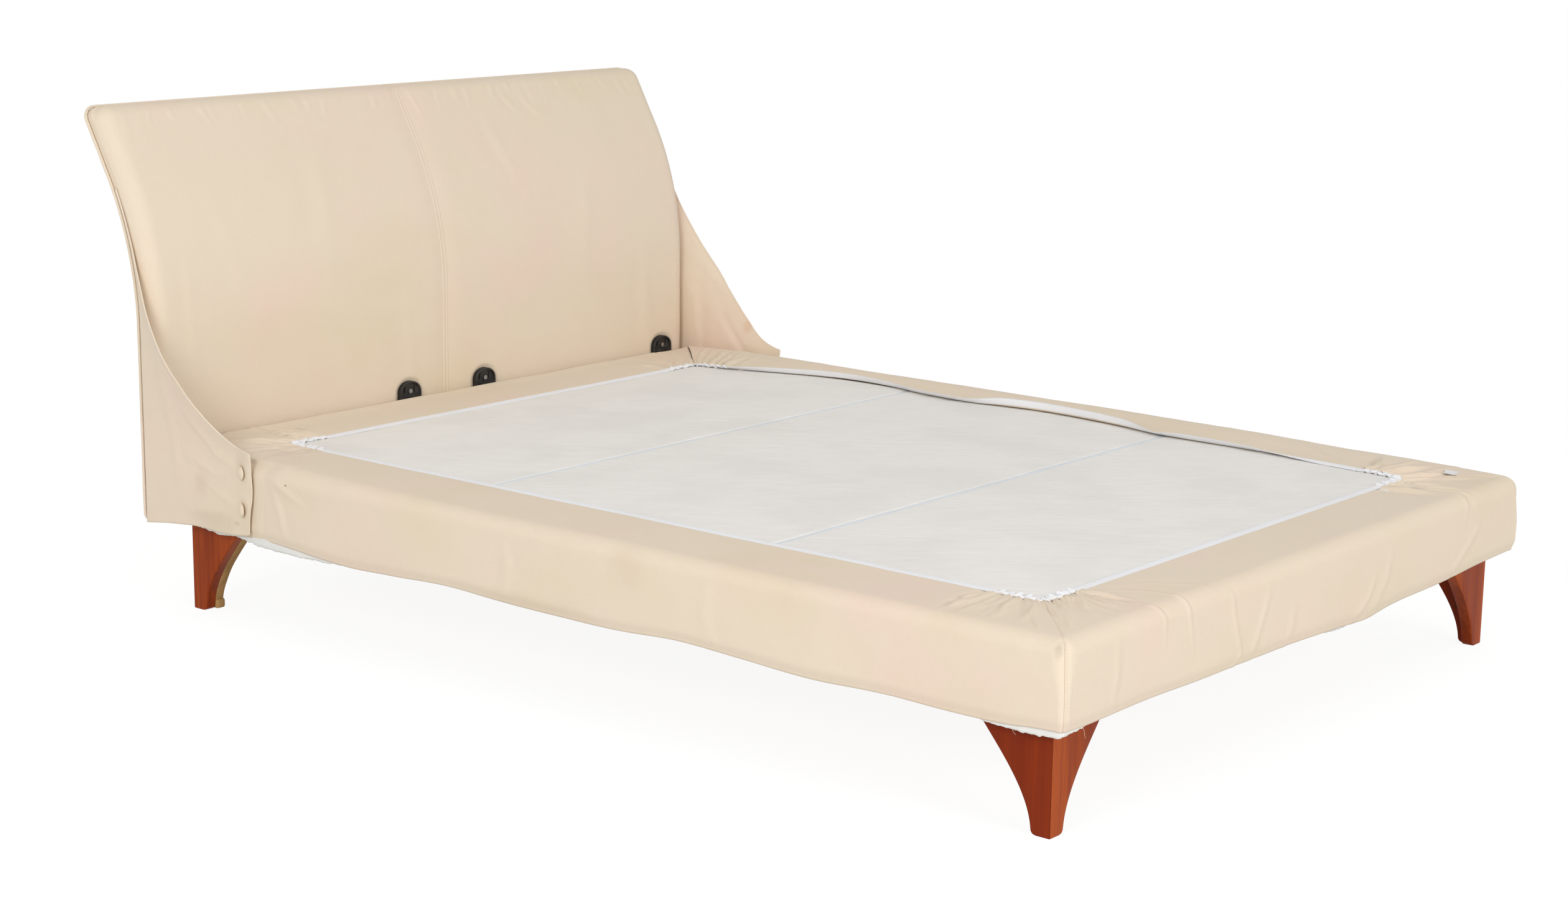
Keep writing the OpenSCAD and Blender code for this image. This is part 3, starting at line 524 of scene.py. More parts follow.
marksNear = [
    ((bed["left"], fromFoot(1.770), 0.309), (0.02, 0.0052, 0.0030), (132, 112, 82), 0.85),
    ((bed["left"], fromFoot(0.018), 0.322), (0.02, 0.011, 0.024), (150, 134, 118), 0.38),
    ((bed["left"], fromFoot(0.900), 0.300), (0.03, 0.060, 0.060), (214, 192, 162), 0.25),
    ((bed["left"], fromFoot(1.150), 0.190), (0.03, 0.240, 0.026), (208, 190, 162), 0.30),
]
marksWing = [
    ((bed["left"], fromFoot(1.985), 0.206), (0.03, 0.110, 0.034), (186, 168, 144), 0.22),
    ((bed["left"], fromFoot(2.020), 0.275), (0.03, 0.030, 0.050), (204, 178, 160), 0.22),
    ((bed["left"], fromFoot(1.890), 0.335), (0.03, 0.030, 0.050), (190, 172, 146), 0.22),
    ((bed["left"], fromFoot(1.915), 0.212), (0.03, 0.012, 0.006), (160, 144, 122), 0.22),
    ((bed["right"], fromFoot(1.972), 0.402), (0.05, 0.020, 0.024), (214, 156, 108), 0.50),
    ((bed["right"], fromFoot(1.972), 0.402), (0.05, 0.014, 0.017), (228, 206, 180), 0.75),
]
slipCotton = cottonMaterial("slipCotton", marksNear)
boardCotton = cottonMaterial("boardCotton", mottle=1.1)
wingCotton = cottonMaterial("wingCotton", marksWing)
tickingCloth = whiteCloth("tickingCloth", (244, 241, 236), 0.0006, crinkle=0.8)
elasticCloth = whiteCloth("elasticCloth", (250, 250, 252), 0.0008, ribs=True, patchAndShadeTone=0.97)
liningCloth = whiteCloth("liningCloth", (238, 237, 232), 0.0007)
tapeCloth = whiteCloth("tapeCloth", (224, 230, 235), 0.0008, ribs=True)
labelCloth = whiteCloth("labelCloth", (232, 232, 232), 0.0004, roughness=0.6)
threadCloth = whiteCloth("threadCloth", (236, 224, 204), 0.0004)
cherryTones, rawTones = ((132, 50, 16), (172, 79, 31)), ((160, 118, 70), (196, 158, 106))
cherryWood = woodMaterial("cherryWood", *cherryTones, grain=(130, 130, 4.5), pores=0.26)
# a darker copy of the cherry for the foot legs' side boards: painted shade on the faces turned from the light
cherryShaded = woodMaterial("cherryShaded", (124, 42, 14), (144, 53, 19), pores=0.16)
rawWood = woodMaterial("rawWood", *rawTones, roughness=0.7)
endWood = woodMaterial("endWood", *rawTones, roughness=0.6, stain=cherryTones)
# the foot legs' corner blocks, painted darker as painted shade where they sit in the corner behind the boards
shadedBlockWood = woodMaterial("shadedBlockWood", (92, 44, 22), (124, 66, 34), roughness=0.7)
plyWood = plyMaterial("plyWood")
seatFoam = foamMaterial("seatFoam")
blackPlastic = plasticMaterial("blackPlastic")
boltSteel = metalMaterial("boltSteel", (176, 176, 178))
print("materials made")


# Base cover: four panels, sewn along the mitres and the upright corners

cover = {
    "edgeRadius": 0.028,
    "cornerTop": 0.030,
    "cornerLow": 0.015,
    "elasticRadius": 0.026,
    "borderSide": 0.173,
    "borderFoot": 0.158,
    "borderHead": 0.174,
    "columns": 600,
    "crowding": 0.55,
    "borderRows": 31,
    "edgeRows": 12,
    "faceRows": 37,
    "wall": 0.0014,
    "tuck": 0.006,
    "gatherReach": 0.115,
    "gatherPitch": 0.0105,
    "gatherHeight": 0.0018,
    "curl": 0.008,
    "settle": 0.0009,
    "allowance": 0.0010,
    "stitchPitch": 0.0052,
    "puff": 0.006,
    "puffPlace": 1.88,
    "wingClear": 1.84,
    "headRise": 0.007,
    "riseEnds": (0.62, 0.72),
    "fanSpread": 0.11,
    "foldReach": 0.32,
}
# How far the slack elastic on the right side bows out, how many degrees it is rolled over and how high the
# cloth beside it puffs up, by the place along the bed
farBow = [(0.158, 0), (0.27, 0.020), (0.39, 0.030), (0.555, 0.034), (0.735, 0.038), (0.915, 0.064),
          (1.05, 0.072), (1.176, 0.061), (1.25, 0.056), (1.35, 0.064), (1.45, 0.084), (1.53, 0.090),
          (1.65, 0.076), (1.75, 0.050), (1.86, 0.016), (1.972, 0)]
farRoll = [(0.158, 0), (0.34, 0), (0.42, 12), (0.56, 38), (0.69, 40), (0.745, 24), (0.80, 62), (0.89, 82),
           (0.96, 86), (1.08, 92), (1.17, 70), (1.215, 38), (1.30, 34), (1.41, 38), (1.50, 54), (1.62, 62),
           (1.76, 46), (1.90, 14), (1.972, 0)]
farPuff = [(0, 0), (0.10, 0.003), (0.30, 0.007), (0.60, 0.012), (1.20, 0.014), (1.70, 0.012), (1.90, 0.009),
           (2.146, 0.003)]
# The hem's height above the floor, by the place along each panel
hemLeft = [(0, 0.189), (0.06, 0.187), (0.11, 0.182), (0.215, 0.180), (0.35, 0.182), (0.495, 0.178),
           (0.65, 0.183), (0.80, 0.187), (0.90, 0.181), (1.205, 0.180), (1.353, 0.185), (1.50, 0.178),
           (1.60, 0.1745), (1.70, 0.180), (1.80, 0.1845), (1.88, 0.1855), (1.95, 0.183), (2.02, 0.184),
           (2.146, 0.187)]
hemRight = [(0, 0.190), (0.09, 0.184), (0.26, 0.179), (0.47, 0.184), (0.70, 0.178), (0.98, 0.183),
            (1.25, 0.177), (1.50, 0.183), (1.76, 0.176), (2.146, 0.180)]
hemFoot = [(0, 0.190), (0.06, 0.187), (0.25, 0.187), (0.495, 0.184), (0.745, 0.182), (0.85, 0.178),
           (0.985, 0.172), (1.05, 0.177), (1.305, 0.182), (1.424, 0.188), (1.58, 0.190)]
hemHead = [(0, 0.182), (0.40, 0.179), (0.80, 0.182), (1.20, 0.180), (1.58, 0.180)]
# Folds, listed one by one: place along the panel and across it from the elastic, then width and height
foldsFoot = [
    ([(0.240, 0.020), (0.265, 0.105), (0.282, 0.165), (0.286, 0.215)], 0.0048, 0.0020),
    ([(0.300, 0.022), (0.338, 0.077), (0.352, 0.140), (0.357, 0.182), (0.376, 0.240)], 0.0050, 0.0026),
    ([(0.330, 0.012), (0.395, 0.070), (0.430, 0.120), (0.445, 0.160)], 0.0065, 0.0014),
    ([(0.490, 0.170), (0.497, 0.200), (0.508, 0.232), (0.525, 0.275), (0.508, 0.302)], 0.0060, 0.0040),
    ([(0.612, 0.190), (0.600, 0.215), (0.581, 0.250), (0.560, 0.290)], 0.0085, 0.0030),
    ([(0.700, 0.235), (0.690, 0.270), (0.672, 0.300)], 0.0090, 0.0022),
    ([(0.990, 0.235), (0.965, 0.268), (0.915, 0.300)], 0.0080, 0.0032),
    ([(1.050, 0.200), (1.030, 0.250), (0.990, 0.295)], 0.0100, 0.0022),
    ([(1.400, 0.215), (1.350, 0.250), (1.290, 0.292)], 0.0085, 0.0028),
    ([(1.330, 0.060), (1.350, 0.130), (1.345, 0.190)], 0.0080, 0.0022),
    ([(0.145, 0.175), (0.150, 0.230), (0.140, 0.280)], 0.0090, 0.0018),
]
foldsLeft = [
    ([(1.888, 0.020), (1.876, 0.060), (1.850, 0.105)], 0.0060, 0.0012),
    ([(1.932, 0.030), (1.930, 0.080), (1.920, 0.125)], 0.0060, 0.0015),
    ([(1.968, 0.050), (1.974, 0.100), (1.976, 0.140)], 0.0055, 0.0014),
    ([(0.300, 0.165), (0.360, 0.195), (0.430, 0.225)], 0.0080, 0.0024),
    ([(0.318, 0.180), (0.352, 0.240), (0.372, 0.300)], 0.0100, 0.0026),
    ([(0.290, 0.190), (0.296, 0.250), (0.290, 0.300)], 0.0070, 0.0022),
    ([(0.230, 0.020), (0.250, 0.080), (0.305, 0.150)], 0.0070, 0.0030),
    ([(0.270, 0.030), (0.300, 0.090), (0.370, 0.160)], 0.0075, 0.0026),
    ([(0.950, 0.200), (0.960, 0.250), (0.945, 0.300)], 0.0120, 0.0018),
    ([(1.430, 0.190), (1.420, 0.250), (1.440, 0.300)], 0.0130, 0.0016),
]
foldsHead = [
    ([(1.366, 0.006), (1.360, 0.050), (1.359, 0.110), (1.362, 0.166)], 0.0042, 0.0052),
    ([(1.352, 0.010), (1.349, 0.060), (1.350, 0.150)], 0.0040, -0.0022),
    ([(1.330, 0.020), (1.300, 0.090), (1.290, 0.150)], 0.0070, 0.0022),
    ([(0.180, 0.010), (0.215, 0.070), (0.225, 0.150)], 0.0065, 0.0034),
    ([(0.250, 0.020), (0.300, 0.080), (0.330, 0.140)], 0.0070, 0.0024),
]
foldsRight = [
    ([(0.220, 0.010), (0.260, 0.060), (0.275, 0.120)], 0.0065, 0.0030),
    ([(0.300, 0.010), (0.370, 0.050), (0.450, 0.110)], 0.0080, 0.0028),
    ([(0.900, 0.200), (0.910, 0.250), (0.890, 0.300)], 0.0110, 0.0022),
    ([(1.500, 0.190), (1.480, 0.250), (1.500, 0.300)], 0.0110, 0.0022),
    ([(1.900, 0.020), (1.930, 0.090), (1.935, 0.160)], 0.0065, 0.0030),
]
panels = {
    "coverFoot": dict(corner=(bed["left"], bed["foot"]), along=(1, 0), outward=(0, -1), length=bed["width"],
                      border=cover["borderFoot"], before=cover["borderSide"], after=cover["borderSide"],
                      hem=hemFoot, folds=foldsFoot, foldGain=0.95, node="cover_foot"),
    "coverRight": dict(corner=(bed["right"], bed["foot"]), along=(0, 1), outward=(1, 0), length=bed["length"],
                       border=cover["borderSide"], before=cover["borderFoot"], after=cover["borderHead"],
                       hem=hemRight, folds=foldsRight, foldGain=1.0, node="cover_side_right"),
    "coverHead": dict(corner=(bed["right"], bed["head"]), along=(-1, 0), outward=(0, 1), length=bed["width"],
                      border=cover["borderHead"], before=cover["borderSide"], after=cover["borderSide"],
                      hem=hemHead, folds=foldsHead, foldGain=0.6, node="cover_head"),
    "coverLeft": dict(corner=(bed["left"], bed["head"]), along=(0, -1), outward=(-1, 0), length=bed["length"],
                      border=cover["borderSide"], before=cover["borderHead"], after=cover["borderFoot"],
                      hem=[(bed["length"] - y, z) for y, z in hemLeft[::-1]], folds=foldsLeft, foldGain=0.75,
                      node="cover_side_left"),
}


def crowded(count, amount):
    # shares from 0 to 1 that lie closer together at both ends
    k = np.linspace(0, 1, count)
    return k - amount * np.sin(2 * np.pi * k) / (2 * np.pi)


def cornerRun(t, length, radius):
    # along one side with half of a rounded corner at each end: place along, depth in, how far it has turned
    # and the distance to the nearer end
    arc = radius * math.pi / 4
    total = length - 2 * radius + 2 * arc
    s = t * total
    before = np.clip((arc - s) / radius, 0, None)
    after = np.clip((s - total + arc) / radius, 0, None)
    place = np.where(before > 0, radius * (1 - np.sin(before)),
                     np.where(after > 0, length - radius * (1 - np.sin(after)), s - arc + radius))
    depth = radius * (1 - np.cos(np.maximum(before, after)))
    return place, depth, after - before, np.minimum(s, total - s)


def isNode(panel, *nodeNames):
    return panel["node"] in nodeNames


def elasticLine(panel, t):
    # the edge of the cover on the deck: its place, the roll of the edge there and the waves of the gathers
    inner = panel["length"] - panel["before"] - panel["after"]
    place, depth, turn, fromCorner = cornerRun(t, inner, cover["elasticRadius"])
    place = place + panel["before"]
    depth = depth + panel["border"]
    roll = np.zeros_like(t)
    if isNode(panel, "cover_side_right"):
        depth = depth - through(farBow, place)
        roll = np.radians(np.maximum(through(farRoll, place), 0))
    near = 1 - ease(fromCorner, 0.6 * cover["gatherReach"], cover["gatherReach"])
    spots = pointsOf(fromCorner, panel["corner"][0], place > panel["length"] / 2)
    phase = 2 * np.pi * fromCorner / cover["gatherPitch"] + 2.2 * softNoise(spots, 0.03, 5)
    sag = 0.0005 * softNoise(pointsOf(place, depth, 0), 0.10, 9) - cover["settle"]
    return dict(place=place, depth=depth, turn=turn, fromCorner=fromCorner, roll=roll, near=near,
                wave=np.cos(phase), wave2=np.cos(0.61 * phase + 0.8), sag=sag)


def curlLength(roll):
    # the cloth beside the elastic that turns with it: the more it rolls over, the more of it
    return cover["curl"] * (0.45 + 0.55 * ease(roll, 0.8, 1.5))


def wayOut(panel, turn):
    # the level direction that points out of a panel, turned where it rounds a corner
    return (np.cos(turn)[:, None] * np.array(panel["outward"], float)
            + np.sin(turn)[:, None] * np.array(panel["along"], float))


def onPanel(panel, place, depth, z):
    # a point a distance along a panel, in from its face and above the floor
    corner, along, outward = (np.array(panel[k], float) for k in ("corner", "along", "outward"))
    flat = corner + place[..., None] * along - depth[..., None] * outward
    return np.concatenate([flat, np.broadcast_to(z, place.shape)[..., None]], -1)


def gatherFolds():
    # folds that fan out from each gathered corner of the elastic, shuffled but the same each run
    random = np.random.default_rng(21)
    folds = []
    count = 22
    for signX, edgeX in ((-1, bed["left"] + cover["borderSide"]), (1, bed["right"] - cover["borderSide"])):
        for signY, edgeY in ((-1, bed["foot"] + cover["borderFoot"]), (1, bed["head"] - cover["borderHead"])):
            for k in range(count):
                share = (k + 0.5 + random.uniform(-0.35, 0.35)) / count * 2 - 1
                angle = math.radians(45 + 48 * share + random.uniform(-9, 9))
                start = np.array([edgeX - signX * max(0, share) * cover["fanSpread"],
                                  edgeY - signY * max(0, -share) * cover["fanSpread"]])
                reach = random.uniform(0.045, 0.165) * (1.15 - 0.3 * abs(share))
                way = np.array([signX * math.sin(math.radians(90) - angle), signY * math.sin(angle)])
                bend = np.array([-way[1], way[0]]) * random.uniform(-0.012, 0.012)
                path = [start - 0.008 * way, start + 0.5 * reach * way + bend, start + reach * way]
                folds.append((path, random.uniform(0.0040, 0.0080), random.uniform(0.0022, 0.0050)))
    return folds


def coverRelief(points, place, across, share, panel, folds):
    # how far the cloth stands off its plain form: slow waves, listed folds and gathers
    relief = 0.0016 * softNoise(points, 0.21, 1) + 0.0008 * softNoise(points, (0.10, 0.10, 0.16), 2)
    relief = relief + 0.00035 * softNoise(points, 0.034, 3)
    # the cloth stands up a little beside the wings
    besideWing = hump((points[..., 1] - fromFoot(cover["puffPlace"])) / 0.24, 1) * (1 - ease(share, 0, 0.3))
    for x in (bed["left"] + 0.05, bed["right"] - 0.05):
        relief = relief + cover["puff"] * hump((points[..., 0] - x) / 0.09, 1) * besideWing
    low = ease(share, 0.45, 1.0)
    relief = relief + 0.0026 * low * softNoise(points, (0.13, 0.13, 0.4), 4)
    relief = np.maximum(relief, -0.0024) * ease(across, 0.0, 0.03)
    spots = pointsOf(place, across)
    relief = relief + panel["foldGain"] * foldsHeight(spots, panel["folds"])
    return relief + (1 - ease(share, 0.02, 0.30)) * foldsHeight(points[..., :2], folds)


def panelPoints(panel, folds):
    # rows from the elastic over the rounded edge down to the hem, then lifted along their normals
    radius = cover["edgeRadius"]
    t = crowded(cover["columns"], cover["crowding"])
    line = elasticLine(panel, t)
    border = np.linspace(0, 1, cover["borderRows"])[:-1] ** 1.15
    angles = np.linspace(0, math.pi / 2, cover["edgeRows"])
    fall = np.linspace(0, 1, cover["faceRows"])[1:]
    outerTop = cornerRun(t, panel["length"], cover["cornerTop"])
    hem = through(panel["hem"], outerTop[0])
    rows, stations = [], []

    def addRow(place, depth, z, out, up, across, share, alongPlace):
        # out and up give the row's normal, across its distance from the elastic, share how far down it is
        rows.append(onPanel(panel, place, depth, z))
        stations.append(np.broadcast_arrays(out, up, across, share, alongPlace))

    # from the elastic out to the start of the rounded edge
    outCos, outSin = np.cos(outerTop[2]), np.sin(outerTop[2])
    edgePlace = outerTop[0] - radius * outSin
    edgeDepth = outerTop[1] + radius * outCos
    width = panel["border"] - radius
    for share in border:
        place = line["place"] + (edgePlace - line["place"]) * share
        depth = line["depth"] + (edgeDepth - line["depth"]) * share
        addRow(place, depth, bed["deckTop"], 0.0, 1.0, share * width, 0.0, place)
    for angle in angles:
        sin, cos = math.sin(angle), math.cos(angle)
        addRow(edgePlace + radius * sin * outSin, edgeDepth - radius * sin * outCos,
               bed["deckTop"] - radius * (1 - cos), sin, cos, width + radius * angle, 0.0, outerTop[0])
    faceTop = bed["deckTop"] - radius
    for share in fall:
        z = faceTop + (hem - faceTop) * share
        corner = cover["cornerTop"] + (cover["cornerLow"] - cover["cornerTop"]) * float(ease(share, 0, 0.6))
        place, depth, _, _ = cornerRun(t, panel["length"], corner)
        inward = cover["tuck"] * ease(share, 0.80, 1.0) ** 1.5
        addRow(place - inward * outSin, depth + inward * outCos, z, 1.0, 0.0,
               width + radius * math.pi / 2 + (faceTop - z), share, outerTop[0])
    points = np.array(rows)
    out, up, across, share, place = np.moveaxis(np.array(stations), 1, 0)
    flatWay = wayOut(panel, outerTop[2])
    normal = np.concatenate([out[..., None] * flatWay[None], up[..., None]], -1)
    relief = coverRelief(points, place, across, share, panel, folds)
    # sewn ends: a narrow valley, and on the foot and head panels the folded allowance beside it
    for end in (0, -1):
        gap = np.linalg.norm(points - points[:, [end]], axis=-1)
        relief = relief - cover["allowance"] * hump(gap, 0.0014)
        if isNode(panel, "cover_foot", "cover_head"):
            folded = ease(gap, 0.001, 0.003) - ease(gap, 0.0125, 0.0145)
            relief = relief + 0.5 * cover["allowance"] * folded * ease(across, 0.02, 0.05)
    # gathers right at the elastic
    ripple = cover["gatherHeight"] * line["near"] * line["wave"]
    relief = relief + ripple[None] * np.exp(-across / 0.020)
    relief = relief + line["sag"][None] * np.exp(-across / 0.04)
    if isNode(panel, "cover_head"):
        relief = np.where(share > 0, np.minimum(relief, 0) - 0.0003, relief)
        relief = np.where((share == 0) & (out > 0.8), np.minimum(relief, 0), relief)
    if isNode(panel, "cover_side_left", "cover_side_right"):
        beside = ease(points[..., 1], fromFoot(cover["wingClear"] - 0.05), fromFoot(cover["wingClear"]))
        held = np.minimum(relief, 0) - 0.0004
        relief = np.where(out > 0.3, relief + beside * (held - relief), relief)
    points = points + relief[..., None] * normal
    if isNode(panel, "cover_side_right"):
        points[..., 2] += through(farPuff, place) * hump(across - 0.12, 0.07)
    # the cloth rides up a little where it meets the headboard
    meets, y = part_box("headboard_cover_left")[0].y, points[..., 1]
    rise = ease(y, meets - 0.06, meets) * (1 - ease(y, meets + 0.02, meets + 0.04))
    points[..., 2] += cover["headRise"] * rise * (1 - ease(np.abs(points[..., 0]), *cover["riseEnds"]))
    # the slack edge curls up: an arc of the cloth's own length, turned by the roll
    roll = np.maximum(line["roll"], 1e-4)[None]
    curl = curlLength(roll)
    run = np.clip(curl - across * (line["depth"] - radius)[None] / width, 0, curl)
    bend = roll * run / curl
    reach = curl / roll * np.sin(bend)
    lift = curl / roll * (1 - np.cos(bend))
    inwardWay = -np.concatenate([flatWay, np.zeros((len(t), 1))], -1)[None]
    points = points + (reach - run)[..., None] * inwardWay * (run > 0)[..., None]
    points[..., 2] += lift
    return points, pointsOf(place, across)


def seamStitches(points):
    # a row of stitches down each end of a panel, four millimetres from the seam
    parts = []
    for first, step in ((0, 1), (-1, -1)):
        rows = points[cover["borderRows"] + 3:-1]
        gap = np.linalg.norm(rows[len(rows) // 2] - rows[len(rows) // 2, first], axis=-1)
        column = int(np.argmin(np.abs(gap - 0.004)))
        line = rows[:, column]
        run = runOf(line)
        at = np.arange(cover["stitchPitch"], run[-1], cover["stitchPitch"])
        centres = placesAt(at, run, line)
        ways = unit(placesAt(at + 0.001, run, line) - centres)
        ups = unit(np.cross(ways, placesAt(at, run, rows[:, column + step] - line)))
        ups = ups * np.sign(np.sum(ups[:, :2] * centres[:, :2], -1))[:, None]
        parts += stitchParts(centres + 0.0003 * ups, ways, ups, 0.0034, 0.00036)
    return parts


def coverPanels():
    # the four panels, each with the corner folds that reach it, and their stitches
    folds = gatherFolds()
    stitches = []
    for name, panel in panels.items():
        corner, outward = np.array(panel["corner"]), np.array(panel["outward"], float)
        near = [fold for fold in folds
                if np.abs((np.mean(fold[0], axis=0) - corner) @ outward) < cover["foldReach"]]
        points, uv = panelPoints(panel, near)
        if isNode(panel, "cover_foot", "cover_head"):
            stitches += seamStitches(points)
        piece = meshObject(name, [surfacePart(points, uv, flip=True)])
        addWall(piece, cover["wall"])
        finishPiece(piece, slipCotton, "cover_cloth", panel["node"])
        print("panel", name, "made")
    finishPiece(meshObject("cornerStitches", stitches), threadCloth, "cover_cloth")


# Elastic binding: one woven band along the cover's edge, scrunched at the four corners

binding = {"width": 0.0215, "thickness": 0.0024, "overlap": 0.002, "steps": 800, "crowding": 0.86,
           "sideways": 0.0018, "ruffle": 0.0024, "lean": 0.055, "pinch": 0.38}


def elasticBinding():
    # a flat oval section carried along the elastic's line, tipped by the roll and waved at the corners
    turn = np.linspace(0, 2 * np.pi, 12, endpoint=False)
    rings = []
    for panel in panels.values():
        t = crowded(binding["steps"], binding["crowding"])[:-1]
        line = elasticLine(panel, t)
        inward = -wayOut(panel, line["turn"])
        inward = np.concatenate([inward, np.zeros((len(t), 1))], 1)
        roll = np.maximum(line["roll"], 1e-4)
        curl = curlLength(roll)
        centre = onPanel(panel, line["place"], line["depth"], bed["deckTop"])
        centre = centre + (curl / roll * np.sin(roll) - curl)[:, None] * inward
        centre[:, 2] += curl / roll * (1 - np.cos(roll))
        near = line["near"]
        leant = roll - binding["lean"]
        way = np.cos(leant)[:, None] * inward + np.sin(leant)[:, None] * np.array([0, 0, 1.0])
        up = -np.sin(leant)[:, None] * inward + np.cos(leant)[:, None] * np.array([0, 0, 1.0])
        lift = near * (binding["ruffle"] * (0.55 + 0.45 * line["wave"]) + 0.0010 * line["wave2"])
        lift = lift + line["sag"]
        side = near * binding["sideways"] * line["wave2"]
        swell = (1 + 0.40 * near * (0.55 + 0.45 * line["wave2"])) * (1 - 0.25 * ease(roll, 0.3, 1.2))
        half = binding["width"] * swell * (1 - binding["pinch"] * near) / 2
        middle = centre + (half - binding["overlap"] + side)[:, None] * way + lift[:, None] * up
        tilt = 0.22 * near * line["wave2"]
        across = half[:, None] * np.cos(turn)[None]
        thick = binding["thickness"] / 2 * np.sign(np.sin(turn)) * np.abs(np.sin(turn)) ** 0.5
        height = thick[None] * (1 + 0.9 * near[:, None]) + across * np.sin(tilt)[:, None]
        rings.append(middle[:, None] + across[..., None] * way[:, None] + height[..., None] * up[:, None])
    rings = np.concatenate(rings)
    run = runOf(rings[:, 0])
    run = np.append(run, run[-1] + 0.002)
    uv = gridUv(run, np.linspace(0, 2 * binding["width"], len(turn) + 1))
    piece = meshObject("elasticBinding", [surfacePart(rings, uv, around=True, along=True)])
    finishPiece(piece, elasticCloth, "white_trim", "elastic_binding")


# Hem lining: a white strip behind the hem, frayed where it shows

lining = {"top": 0.206, "inset": 0.0034, "wall": 0.0012, "width": 0.027}
# The height of its lower edge, by the place along each panel
liningLow = {
    "coverLeft": [(0, 0.180), (0.05, 0.175), (0.10, 0.1745), (0.17, 0.178), (0.26, 0.186), (0.60, 0.190),
                  (1.30, 0.188), (1.50, 0.186), (1.58, 0.177), (1.68, 0.1712), (1.78, 0.169),
                  (1.865, 0.1712), (1.91, 0.1775), (1.95, 0.1785), (1.975, 0.1763), (2.02, 0.1794),
                  (2.08, 0.184), (2.146, 0.187)],
    "coverRight": [(0, 0.196), (0.10, 0.188), (0.30, 0.188), (1.70, 0.188), (1.95, 0.176), (2.146, 0.178)],
    "coverFoot": [(0, 0.180), (0.04, 0.181), (0.10, 0.190), (0.78, 0.188), (0.835, 0.174), (0.88, 0.171),
                  (0.935, 0.176), (1.00, 0.186), (1.30, 0.190), (1.47, 0.194), (1.58, 0.196)],
    "coverHead": [(0, 0.178), (0.80, 0.184), (1.58, 0.176)],
}


def hemLining():
    # a strip round the ring; its lower edge is a smooth line roughened by three sizes of noise
    loops = []
    for name, panel in panels.items():
        t = crowded(700, 0.5)[:-1]
        place, depth, turn, _ = cornerRun(t, panel["length"], cover["cornerLow"])
        knots = liningLow[name]
        if name == "coverLeft":
            knots = [(bed["length"] - y, z) for y, z in knots[::-1]]
        low = through(knots, place)
        spots = pointsOf(place, panel["length"], 0)
        low = low + 0.0016 * softNoise(spots, 0.013, 31) + 0.0012 * softNoise(spots, 0.0052, 32)
        levels = [0.0, 0.12, 0.35, 0.7, 1.0]
        for share in levels:
            inset = lining["inset"] + cover["tuck"] - 0.0040 * share
            inset = inset + 0.0016 * softNoise(spots + share, 0.016, 33) * (1 - share)
            loops.append(onPanel(panel, place - inset * np.sin(turn), depth + inset * np.cos(turn),
                                 low + (lining["top"] - low) * share))
        rows = len(levels)
    grids = [np.array(loops[k * rows:(k + 1) * rows]) for k in range(4)]
    points = np.concatenate(grids, 1)
    length = 2 * (bed["width"] + bed["length"])
    uv = gridUv(np.linspace(0, 0.03, rows), np.linspace(0, length, points.shape[1] + 1))
    piece = meshObject("hemLining", [surfacePart(points, uv, around=True)])
    addWall(piece, lining["wall"])
    finishPiece(piece, liningCloth, "white_trim", "hem_lining")


coverPanels()
elasticBinding()
hemLining()
print("cover, binding and lining made")


# Deck: three padded panels of crinkled ticking and the tapes between them

deck = {"crown": 0.0012, "rim": 0.0045, "rowPitch": 0.0046, "colPitch": 0.0054, "crinkle": 0.0004,
        "clear": 0.0004, "hiddenDip": 0.003}


